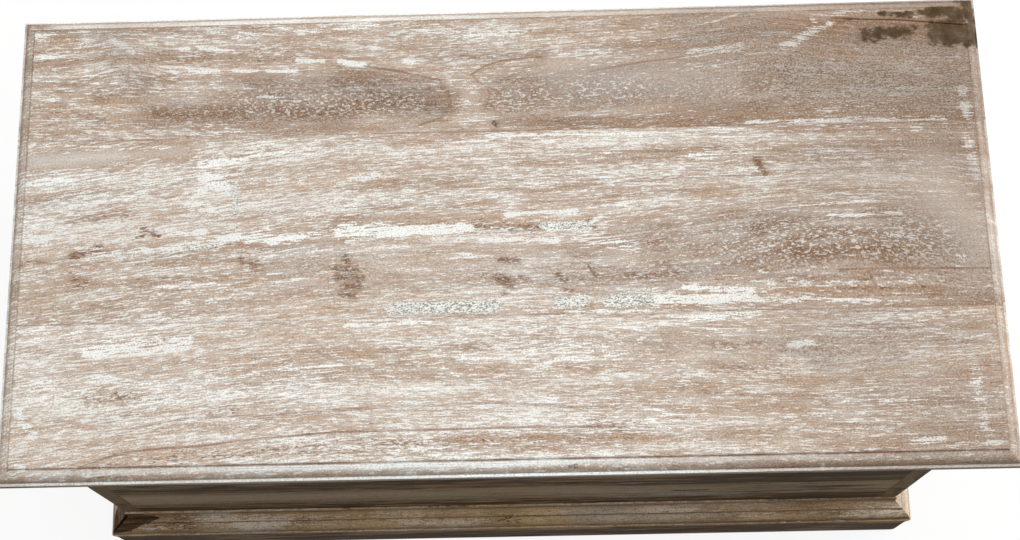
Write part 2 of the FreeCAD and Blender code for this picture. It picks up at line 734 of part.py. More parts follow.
doc.recompute()
for item in doc.Objects:
    if "Invalid" in item.State or "Error" in item.State:
        raise RuntimeError(f"{item.Label} did not rebuild: {item.State}")
os.makedirs("parts", exist_ok=True)
for label, piece in pieces.items():
    if piece.Shape.isNull() or not piece.Shape.isValid():
        raise RuntimeError(f"{label} has no sound shape")
    piece.Shape.exportStep(f"parts/{label}.step")
print(f"{len(pieces)} pieces written")
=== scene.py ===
import math

import bmesh
import bpy
import numpy as np
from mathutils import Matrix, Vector


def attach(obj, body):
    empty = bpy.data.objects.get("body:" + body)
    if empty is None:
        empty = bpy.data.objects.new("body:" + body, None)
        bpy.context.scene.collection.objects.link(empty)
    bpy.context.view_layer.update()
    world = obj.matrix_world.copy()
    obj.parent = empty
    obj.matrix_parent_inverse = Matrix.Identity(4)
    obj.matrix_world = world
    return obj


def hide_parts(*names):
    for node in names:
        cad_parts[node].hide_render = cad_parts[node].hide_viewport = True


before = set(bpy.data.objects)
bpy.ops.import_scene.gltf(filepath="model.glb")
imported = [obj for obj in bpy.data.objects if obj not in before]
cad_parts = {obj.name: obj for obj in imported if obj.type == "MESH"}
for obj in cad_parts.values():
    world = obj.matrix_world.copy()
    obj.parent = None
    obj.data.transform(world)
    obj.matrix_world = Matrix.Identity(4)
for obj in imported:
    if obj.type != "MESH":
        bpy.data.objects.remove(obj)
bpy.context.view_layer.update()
print("trunk frame loaded:", len(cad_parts), "nodes")

mm = 0.001
slack = 0.01  # millimetres within which two places are the same
tiny = 1e-6


def screenColour(red, green, blue):
    # a colour as it looks on a screen, 0 to 255, on the shader's own scale
    parts = [part / 255 for part in (red, green, blue)]
    return tuple(p / 12.92 if p <= 0.04 else ((p + 0.055) / 1.055) ** 2.4 for p in parts) + (1.0,)


def smoothStep(value, low, high):
    part = np.clip((value - low) / (high - low), 0, 1)
    return part * part * (3 - 2 * part)


def ridge(value, low, full, ease, gone):
    # rises, stays and falls away again
    return smoothStep(value, low, full) * (1 - smoothStep(value, ease, gone))


def softNoise(u, v, seed):
    # smooth random field from -1 to 1, one swing for each unit
    size = 128
    table = np.random.default_rng(seed).random((size, size)) * 2 - 1
    u, v = np.broadcast_arrays(np.asarray(u, float), np.asarray(v, float))
    iu, iv = np.floor(u).astype(int), np.floor(v).astype(int)
    fu, fv = smoothStep(u - iu, 0, 1), smoothStep(v - iv, 0, 1)
    low = table[iu % size, iv % size] * (1 - fu) + table[(iu + 1) % size, iv % size] * fu
    high = table[iu % size, (iv + 1) % size] * (1 - fu) + table[(iu + 1) % size, (iv + 1) % size] * fu
    return low * (1 - fv) + high * fv


def boardNoise(x, y, noise, seed):
    # each noise: run and rise of one swing in millimetres, and the step of the seed
    run, rise, step = noise
    return softNoise(x / run, y / rise, seed + step)


# Shader pieces

def newMaterial(name):
    material = bpy.data.materials.new(name)
    material.use_nodes = True
    tree = material.node_tree
    tree.nodes.clear()
    shader = tree.nodes.new("ShaderNodeBsdfPrincipled")
    output = tree.nodes.new("ShaderNodeOutputMaterial")
    tree.links.new(shader.outputs["BSDF"], output.inputs["Surface"])
    return material, tree, shader


def feed(tree, socket, value):
    if isinstance(value, bpy.types.NodeSocket):
        tree.links.new(value, socket)
    else:
        socket.default_value = value


def calc(tree, operation, *values, clamp=False):
    node = tree.nodes.new("ShaderNodeMath")
    node.operation = operation
    node.use_clamp = clamp
    for socket, value in zip(node.inputs, values):
        feed(tree, socket, value)
    return node.outputs[0]


def weighted(tree, *pairs, start=0.0):
    # sum of value times weight
    total = start
    for value, weight in pairs:
        total = calc(tree, "MULTIPLY_ADD", value, weight, total)
    return total


def fade(tree, value, low, high):
    node = tree.nodes.new("ShaderNodeMapRange")
    node.interpolation_type = "SMOOTHSTEP"
    feed(tree, node.inputs["Value"], value)
    node.inputs["From Min"].default_value = low
    node.inputs["From Max"].default_value = high
    return node.outputs["Result"]


def tint(tree, amount, under, over, blend="MIX"):
    node = tree.nodes.new("ShaderNodeMix")
    node.data_type = "RGBA"
    node.blend_type = blend
    feed(tree, node.inputs[0], amount)
    feed(tree, node.inputs[6], under)
    feed(tree, node.inputs[7], over)
    return node.outputs[2]


def between(tree, amount, low, high):
    node = tree.nodes.new("ShaderNodeMix")
    feed(tree, node.inputs[0], amount)
    feed(tree, node.inputs[2], low)
    feed(tree, node.inputs[3], high)
    return node.outputs[0]


def plainNoise(tree, vector, detail, roughness):
    noise = tree.nodes.new("ShaderNodeTexNoise")
    noise.inputs["Scale"].default_value = 1
    noise.inputs["Detail"].default_value = detail
    noise.inputs["Roughness"].default_value = roughness
    tree.links.new(vector, noise.inputs["Vector"])
    return noise.outputs["Fac"]


def stretched(tree, place, scale, detail, roughness=0.5):
    # noise drawn out by a scale for each direction
    sized = tree.nodes.new("ShaderNodeVectorMath")
    sized.operation = "MULTIPLY"
    feed(tree, sized.inputs[0], place)
    sized.inputs[1].default_value = scale
    return plainNoise(tree, sized.outputs[0], detail, roughness)


# how rows of pores waver and lean, and the steps in the noise from one row to the next
poreRows = {"waverScale": (26, 150, 150), "waver": 3.0, "lean": 0.4, "runStep": 17.31, "rowStep": 5.77}


def rowDashes(tree, place, length, height, detail):
    # straight dashes in thin rows along the grain, each row with its own run
    parts = tree.nodes.new("ShaderNodeSeparateXYZ")
    feed(tree, parts.inputs[0], place)
    waver = stretched(tree, place, poreRows["waverScale"], 1)
    level = weighted(tree, (parts.outputs["Y"], 1 / height), (parts.outputs["Z"], poreRows["lean"] / height))
    row = calc(tree, "FLOOR", calc(tree, "MULTIPLY_ADD", waver, poreRows["waver"], level))
    run = tree.nodes.new("ShaderNodeCombineXYZ")
    feed(tree, run.inputs["X"], weighted(tree, (parts.outputs["X"], 1 / length), (row, poreRows["runStep"])))
    feed(tree, run.inputs["Y"], calc(tree, "MULTIPLY", row, poreRows["rowStep"]))
    return plainNoise(tree, run.outputs[0], detail, 0.5)


def reading(tree, name):
    node = tree.nodes.new("ShaderNodeAttribute")
    node.attribute_name = name
    return node


def relief(tree, shader, height, strength, distance):
    bump = tree.nodes.new("ShaderNodeBump")
    bump.inputs["Strength"].default_value = strength
    bump.inputs["Distance"].default_value = distance
    feed(tree, bump.inputs["Height"], height)
    tree.links.new(bump.outputs["Normal"], shader.inputs["Normal"])


# Limed wood. The boards carry where the grain runs and where the lime, stain, wear, painted shade and painted
# highlights lie.

markNames = ("ringPhase", "dotZone", "woodDepth", "limePores", "limeCover", "bareWood", "greyTicks",
             "greyHaze", "stainAndShade", "lineSide", "lineStrength", "limeVeilAndHighlight")

limedFinish = {
    "colours": {
        "woodLight": (191, 164, 140),
        "woodBrown": (129, 99, 74),
        "poreBrown": (104, 76, 54),
        "bareBrown": (118, 84, 56),
        "lineBrown": (124, 87, 58),
        "limeWhite": (246, 249, 246),
        "limeWarm": (234, 235, 231),
        "dustGrey": (152, 149, 142),
        "dustPale": (228, 228, 222),
        "hazeGrey": (112, 98, 85),
        "hazePale": (168, 158, 148),
        "stainAndShadeOlive": (66, 50, 27),
        "endBrown": (128, 100, 76),
    },
    # length and height of the pores in metres, and detail
    "pores": {
        "dash": (0.0105, 0.0008, 1.0),
        "dot": (0.0048, 0.00078, 0.5),
    },
    # scale along, across and into the wood, detail and roughness
    "noises": {
        "streak": ((18, 560, 560), 2, 0.5),
        "patch": ((24, 110, 110), 4, 0.65),
        "fibre": ((60, 2400, 2400), 1, 0.5),
        "cloud": ((4, 16, 16), 3, 0.5),
        "grit": ((560, 900, 900), 2, 0.7),
        "band": ((2.4, 60, 60), 3, 0.6),
        "blot": ((75, 90, 90), 5, 0.65),
    },
    # the share of each pore, noise and mark in a layer, and the range over which it fades in
    "layers": {
        "bare": {"start": -1.8, "bareWood": 0.8, "dash": 0.6, "dot": 1.7, "grit": 0.8, "blot": 0.5,
                 "fade": (0.42, 0.54)},
        "poreLime": {"start": 0.1, "dash": 0.62, "streak": 0.3, "grit": 0.16, "band": -0.15, "limePores": 0.3,
                     "dotZone": -0.1, "fade": (0.7, 0.8)},
        "poreShare": {"start": 0.12, "bare": -0.7, "patch": 0.9, "streak": 0.5},
        "tickLime": {"dot": 0.75, "grit": 0.25, "fade": (0.51, 0.63)},
        "coverLime": {"start": -1.5, "limeCover": 0.62, "patch": 0.7, "dash": 0.9, "streak": 0.9, "grit": 0.5,
                      "fade": (0.26, 0.42)},
        "thinLime": {"start": -0.7, "limePores": 0.6, "patch": 0.9, "streak": 0.8, "band": -0.45,
                     "bareWood": -0.3},
        "brushShare": {"start": 0.35, "streak": 0.7, "patch": 0.5},
        "woodTone": {"start": -1.3, "late": 0.16, "cloud": 0.8, "streak": 0.8, "bareWood": 0.35,
                     "dotZone": 0.25, "band": 1.0},
        "dustTicks": {"grit": 0.6, "dot": 0.4, "fade": (0.42, 0.55)},
        "dust": {"start": -0.8, "greyTicks": 0.8, "blot": 0.6, "dash": 0.5, "grit": 0.5, "fade": (0.2, 0.5)},
        "haze": {"grit": 0.4, "dot": 0.4, "streak": 0.2, "fade": (0.4, 0.58)},
        "stain": {"start": -0.98, "stainAndShade": 0.6, "blot": 1.5, "grit": 0.4, "fade": (0.18, 0.44)},
        "stainShare": {"start": -0.2, "grit": 0.8, "blot": 1.3},
        "relief": {"fibre": 0.2, "dash": 0.6, "lime": 0.25, "late": 0.12},
    },
    "ranges": {
        "lateWood": (0.45, 0.92),
        "ringEnd": (0.92, 1.0),
        "limeSpeck": (0.56, 0.68),
        "fibre": (0.1, 0.6),
        "lightPore": (0.3, 0.42),
        "coolLime": (0.35, 0.65),
        "dustEdge": (0.04, 0.3),
        "offLine": (0.4, 1.7),
        "stainEdge": (0.04, 0.25),
        "speck": (0.26, 0.58),
    },
    "amounts": {
        "tickLime": 0.75,
        "coverLime": 0.94,
        "limeSpeck": 0.42,
        "fibre": 0.3,
        "darkPore": 0.45,
        "hidingOverDeep": -0.4,
        "endGrain": 0.6,
        "speck": 0.42,
        "speckTop": 0.97,
        "speckShare": 0.83,
        "roughWood": 0.6,
        "roughLime": 0.86,
        "gloss": 0.15,
        "relief": 0.4,
        "reliefDepth": 0.0007,
    },
}

# the trunk below the lid is browner, and its lime has worn thin and dirty
wornChanges = {
    "colours": {
        "woodLight": (216, 184, 140),
        "woodBrown": (136, 106, 72),
        "lineBrown": (52, 38, 25),
        "limeWhite": (234, 224, 210),
        "limeWarm": (212, 188, 166),
        "dustGrey": (146, 140, 128),
        "dustPale": (178, 170, 156),
        "hazeGrey": (186, 168, 140),
        "hazePale": (226, 210, 184),
        "stainAndShadeOlive": (64, 48, 32),
        "endBrown": (112, 90, 64),
    },
    "noises": {"blot": ((14, 190, 190), 5, 0.65)},
    "layers": {
        "woodTone": {"start": -1.9, "late": 0.16, "cloud": 0.8, "streak": 2.0, "bareWood": 0.35,
                     "dotZone": 0.25, "band": 1.0},
        "haze": {"grit": 0.1, "dot": 0.4, "streak": 0.5, "fade": (0.4, 0.58)},
    },
    "amounts": {"limeSpeck": 0.2, "speck": 0.5, "gloss": 0.02},
}
wornFinish = {part: {**values, **wornChanges.get(part, {})} for part, values in limedFinish.items()}


def limedWood(name, finish):
    material, tree, shader = newMaterial(name)
    colour = {key: screenColour(*value) for key, value in finish["colours"].items()}
    amount = finish["amounts"]
    place = reading(tree, "grainPlace").outputs["Vector"]
    field = {key: reading(tree, key).outputs["Fac"] for key in markNames}
    field.update({key: rowDashes(tree, place, *pore) for key, pore in finish["pores"].items()})
    field.update({key: stretched(tree, place, *noise) for key, noise in finish["noises"].items()})

    def within(key, label):
        return fade(tree, field[key], *finish["ranges"][label])

    def layer(label):
        shares = dict(finish["layers"][label])
        start, reach = shares.pop("start", 0.0), shares.pop("fade", None)
        level = weighted(tree, *[(field[key], share) for key, share in shares.items()], start=start)
        return fade(tree, level, *reach) if reach else level

    def times(value, share, clamp=False):
        return calc(tree, "MULTIPLY", value, share, clamp=clamp)

    field["ring"] = calc(tree, "FRACT", field["ringPhase"])
    field["late"] = calc(tree, "SUBTRACT", within("ring", "lateWood"), within("ring", "ringEnd"))
    field["bare"] = layer("bare")

    # lime in the pores, lime that lies on the wood, a thin veil of it that also carries painted highlights,
    # ticks and specks
    limes = [
        times(layer("poreLime"), layer("poreShare")),
        times(layer("coverLime"), amount["coverLime"]),
        layer("thinLime"),
        times(field["limeVeilAndHighlight"], layer("brushShare")),
        times(times(layer("tickLime"), field["dotZone"]), amount["tickLime"]),
        times(within("grit", "limeSpeck"), amount["limeSpeck"]),
    ]
    lime = limes[0]
    for other in limes[1:]:
        lime = calc(tree, "MAXIMUM", lime, other, clamp=True)
    field["lime"] = lime

    depth = calc(tree, "ADD", layer("woodTone"), field["woodDepth"], clamp=True)
    wood = tint(tree, depth, colour["woodLight"], colour["woodBrown"])
    wood = tint(tree, amount["fibre"], wood, within("fibre", "fibre"), "MULTIPLY")
    darkPore = calc(tree, "SUBTRACT", 1.0, within("dash", "lightPore"))
    wood = tint(tree, times(darkPore, amount["darkPore"]), wood, colour["poreBrown"])
    wood = tint(tree, field["bare"], wood, colour["bareBrown"])

    # lime hides deep wood less, and grey dust, haze, lines, and stains with painted shade lie over both
    hiding = calc(tree, "MULTIPLY_ADD", field["woodDepth"], amount["hidingOverDeep"], 1.0)
    white = tint(tree, within("cloud", "coolLime"), colour["limeWarm"], colour["limeWhite"])
    surface = tint(tree, times(lime, hiding), wood, white)
    dust = tint(tree, layer("dustTicks"), colour["dustGrey"], colour["dustPale"])
    surface = tint(tree, times(layer("dust"), within("greyTicks", "dustEdge")), surface, dust)
    haze = tint(tree, layer("haze"), colour["hazeGrey"], colour["hazePale"])
    surface = tint(tree, field["greyHaze"], surface, haze)
    field["lineGap"] = calc(tree, "ABSOLUTE", field["lineSide"])
    line = calc(tree, "SUBTRACT", 1.0, within("lineGap", "offLine"))
    surface = tint(tree, times(line, field["lineStrength"]), surface, colour["lineBrown"])
    endGrain = times(reading(tree, "endGrain").outputs["Fac"], amount["endGrain"])
    surface = tint(tree, endGrain, surface, colour["endBrown"])
    # stains, and the painted shade carried with them: the lid's shadow on the walls, the shaded right-hand
    # end and the plinth's shaded face
    stainedAndShaded = times(layer("stain"), within("stainAndShade", "stainEdge"))
    surface = tint(tree, times(stainedAndShaded, layer("stainShare"), clamp=True), surface, colour["stainAndShadeOlive"])
    floor = amount["speckTop"] - amount["speckShare"] * amount["speck"]
    speck = calc(tree, "MULTIPLY_ADD", within("grit", "speck"), amount["speck"], floor)
    surface = tint(tree, 1.0, surface, speck, "MULTIPLY")

    feed(tree, shader.inputs["Base Color"], surface)
    feed(tree, shader.inputs["Roughness"], between(tree, lime, amount["roughWood"], amount["roughLime"]))
    shader.inputs["Specular IOR Level"].default_value = amount["gloss"]
    relief(tree, shader, layer("relief"), amount["relief"], amount["reliefDepth"])
    return material


limedWoods = {
    "lid_wood": limedWood("limedLidWood", limedFinish),
    "wall_wood": limedWood("wornWallWood", wornFinish),
    "plinth_wood": limedWood("wornPlinthWood", wornFinish),
}
print("limed wood mixed")


# Boards, lofted from a section along their grain. Along, across and depth are in millimetres.

strokeSoftness = {"core": 0.15, "reach": 2}  # in half widths of the stroke
lineReach = (2.4, 4)
smoothAngle = 38
weldReach = 1e-7  # metres; a shorter edge is dropped


def offSegment(x, y, x0, y0, x1, y1):
    # how far each place is from a straight run between two ends, and on which side
    px, py = x - x0, y - y0
    dx, dy = x1 - x0, y1 - y0
    part = np.clip((px * dx + py * dy) / max(dx * dx + dy * dy, tiny), 0, 1)
    return np.hypot(px - part * dx, py - part * dy), np.sign(dx * py - dy * px)


def strokeMask(x, y, strokes):
    # each stroke: two ends, half width and strength
    mask = np.zeros(x.shape)
    for x0, y0, x1, y1, half, amount in strokes:
        core, reach = half * strokeSoftness["core"], half * strokeSoftness["reach"]
        near = (x > min(x0, x1) - reach) & (x < max(x0, x1) + reach)
        near &= (y > min(y0, y1) - reach) & (y < max(y0, y1) + reach)
        gap, _ = offSegment(x[near], y[near], x0, y0, x1, y1)
        mask[near] = np.maximum(mask[near], amount * (1 - smoothStep(gap, core, reach)))
    return mask


def lineMarks(x, y, lines):
    # signed distance to the nearest line, and that line's strength near it
    inner, outer = lineReach
    side, strength = np.full(x.shape, float(outer)), np.zeros(x.shape)
    for points, amount in lines:
        for start, end in zip(points, points[1:]):
            gap, hand = offSegment(x, y, *start, *end)
            closer = (gap < outer) & (gap < np.abs(side))
            side[closer] = (hand * gap)[closer]
            strength[closer] = (amount * (1 - smoothStep(gap, inner, outer)))[closer]
    return side, strength


def follow(points, x, column):
    return np.interp(x, [point[0] for point in points], [point[column] for point in points])


grainWays = {
    "wander": (1.6, 150, 45),  # swing, run and rise in millimetres
    "fineWander": (0.4, 60, 16),
    "ringWander": (2.2, 70, 22),
    "seedStep": (3.7, 1.3),
    "heartSide": (0.25, 0.7),
    "heartDepth": (16, 34),
}


def grainFields(x, y, depth, grain, seed):
    # rings of a log whose heart runs under the board, and the way the grain drifts
    drift = follow(grain["drift"], x, 1)
    for x0, y0, run, rise, part, lift in grain.get("swirls", []):
        # the grain parts round a place, or lifts over it
        u, v = (x - x0) / run, (y - y0) / rise
        drift = drift + (part * v + lift) * np.exp(-u * u - v * v)
    swing, run, rise = grainWays["wander"]
    wander = swing * softNoise(x / run + seed, y / rise, seed)
    swing, run, rise = grainWays["fineWander"]
    wander = wander + swing * softNoise(x / run, y / rise + seed, seed + 1)
    across = y - drift + wander
    off = across - (follow(grain["heart"], x, 1) - drift)
    below = follow(grain["heart"], x, 2) + depth
    reach = np.hypot(off, below)
    swing, run, rise = grainWays["ringWander"]
    rings = (reach + swing * softNoise(x / run, y / rise, seed + 2)) / grain["ringWidth"]
    runStep, riseStep = grainWays["seedStep"]
    place = np.stack([x * mm + seed * runStep, across * mm + seed * riseStep, depth * mm], axis=-1)
    overHeart = 1 - smoothStep(np.abs(off) / reach, *grainWays["heartSide"])
    return place, rings, overHeart * (1 - smoothStep(below, *grainWays["heartDepth"]))


def endLips(across, loop, groove, gone, fromFace):
    # where a cut reaches the groove, the lip beside it ends at the groove's foot
    foot, near, far = groove
    lip = (loop[:, 0] < foot) & ((loop[:, 1] < near + slack) if fromFace else (loop[:, 1] > far - slack))
    across[np.ix_(gone, lip)] = foot


def boardGrid(stations, loop):
    # along, across and depth for each station and each point of the section
    along = np.repeat(stations[:, None], len(loop), axis=1)
    across = np.repeat(loop[None, :, 0], len(stations), axis=0)
    depth = np.repeat(loop[None, :, 1], len(stations), axis=0)
    return along, across, depth


def loftBoard(name, along, across, depth, axes):
    # stations by loop points, capped at both ends
    origin, run, rise, inward = (np.array(axis, float) for axis in axes)
    spots = origin + along[..., None] * run + across[..., None] * rise + depth[..., None] * inward
    stations, ring = along.shape
    grid = np.arange(stations * ring).reshape(stations, ring)
    ahead = np.roll(grid, -1, axis=1)
    quads = np.stack([grid[:-1], grid[1:], ahead[1:], ahead[:-1]], axis=-1).reshape(-1, 4)
    faces = quads.tolist() + [grid[0].tolist(), grid[-1, ::-1].tolist()]
    mesh = bpy.data.meshes.new(name)
    mesh.from_pydata((spots.reshape(-1, 3) * mm).tolist(), [], faces)
    shell = bmesh.new()
    shell.from_mesh(mesh)
    if shell.calc_volume(signed=True) < 0:
        mesh.flip_normals()
    shell.free()
    mesh.shade_smooth()
    mesh.set_sharp_from_angle(angle=math.radians(smoothAngle))
    ends = mesh.attributes.new("endGrain", "FLOAT", "FACE")
    isEnd = np.zeros(len(faces), np.float32)
    isEnd[-2:] = 1
    ends.data.foreach_set("value", isEnd)
    return mesh


def writeMarks(mesh, place, marks):
    attribute = mesh.attributes.new("grainPlace", "FLOAT_VECTOR", "POINT")
    attribute.data.foreach_set("vector", place.reshape(-1).astype(np.float32))
    for key in markNames:
        values = np.broadcast_to(marks[key], place.shape[:-1])
        attribute = mesh.attributes.new(key, "FLOAT", "POINT")
        attribute.data.foreach_set("value", values.reshape(-1).astype(np.float32))
    dropEmptyFaces(mesh)


def dropEmptyFaces(mesh):
    shell = bmesh.new()
    shell.from_mesh(mesh)
    bmesh.ops.dissolve_degenerate(shell, dist=weldReach, edges=shell.edges)
    shell.to_mesh(mesh)
    shell.free()


def addPiece(name, mesh, material, body, slot, *nodes):
    piece = bpy.data.objects.new(name, mesh)
    bpy.context.scene.collection.objects.link(piece)
    mesh.materials.append(material)
    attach(piece, body)
    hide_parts(*nodes)


def spaced(low, high, step):
    return np.linspace(low, high, max(2, int(round(abs(high - low) / step)) + 1))


def evenly(low, high, step):
    # the same without both ends
    return spaced(low, high, step)[1:-1]


# Lid: three tongued boards, with the edge moulding cut round all of them

lid = {
    "length": 900,
    "thickness": 22,
    "top": 480,
    "roundRadius": 10.5,
    "roundAngles": (8, 18, 28, 38, 48, 58, 68, 78, 90),
    "quirkDepth": 2.5,
    "quirkRound": [(0.06, 1.3), (0.25, 0.45), (0.8, 0.1), (1.8, 0)],  # inwards and down
    "ledge": 2.5,
    "ledgeRound": [(0, 0.7), (0.15, 0.2), (0.6, 0)],
    "sideRow": 18,
    "seamBevel": 0.45,
    "groove": (6.5, 7.9, 14.1),  # reach, upper side and lower side
    "tongue": (6, 8, 14),
    "rowStep": 1.7,
    "underStep": 16,
    "stationStep": 1.9,
    "hollow": 0.22,
    "chip": 0.7,
    # noises: run and rise of one swing in millimetres, and the step of the seed
    "noises": {
        "ragged": (38, 9, 4),
        "drawnOut": (170, 8, 5),
        "rim": (30, 30, 9),
        "seam": (40, 1, 11),
        "line": (25, 8, 13),
        "hollow": (120, 34, 20),
        "chip": (9, 9, 30),
    },
    "wear": {
        "topFace": 0.12,
        "chip": {"inset": 0.5, "spread": 0.6, "above": 1.6, "least": 0.35},
        "crackRuns": (25, 3),
        "crackReach": 26,
        "dotsAbove": 10,
        "rimInset": 0.1,
        "rimReach": 3,
        "rimLine": (0.5, 0.3),
        "seamLine": (0.2, 0.4),
        "grainLine": (0.75, 0.25),
        "under": (14, 20),
        "mouldingEdge": 0.6,
        "crown": (2.5, 6),
        "lowRound": (3.5, 6, 11.5, 12.6),
        "ledge": (12.4, 12.8, 13.4, 14.5),
        "ragged": (0.6, 0.9),
        "dusty": (-60, 430),
        "farRight": (330, 440),
        "leftEnd": (20, 40),
        "deep": {"under": 0.3, "moulding": 0.4, "leftEnd": 0.6},
        "pores": {"plain": 0.5, "ragged": 0.16, "dusk": 0.35, "lowRound": 0.2,
                  "farRight": 0.12, "under": 0.85},
        "greyTicks": 0.9,
        "haze": (0.85, 0.3),
        "crownLimeAndHighlight": {"full": 0.95, "dusty": 0.6, "leftEnd": 0.6},
        "ledgeHighlight": {"full": 0.95, "dusty": 0.35},
        "veil": (0.9, 0.5),
    },
}

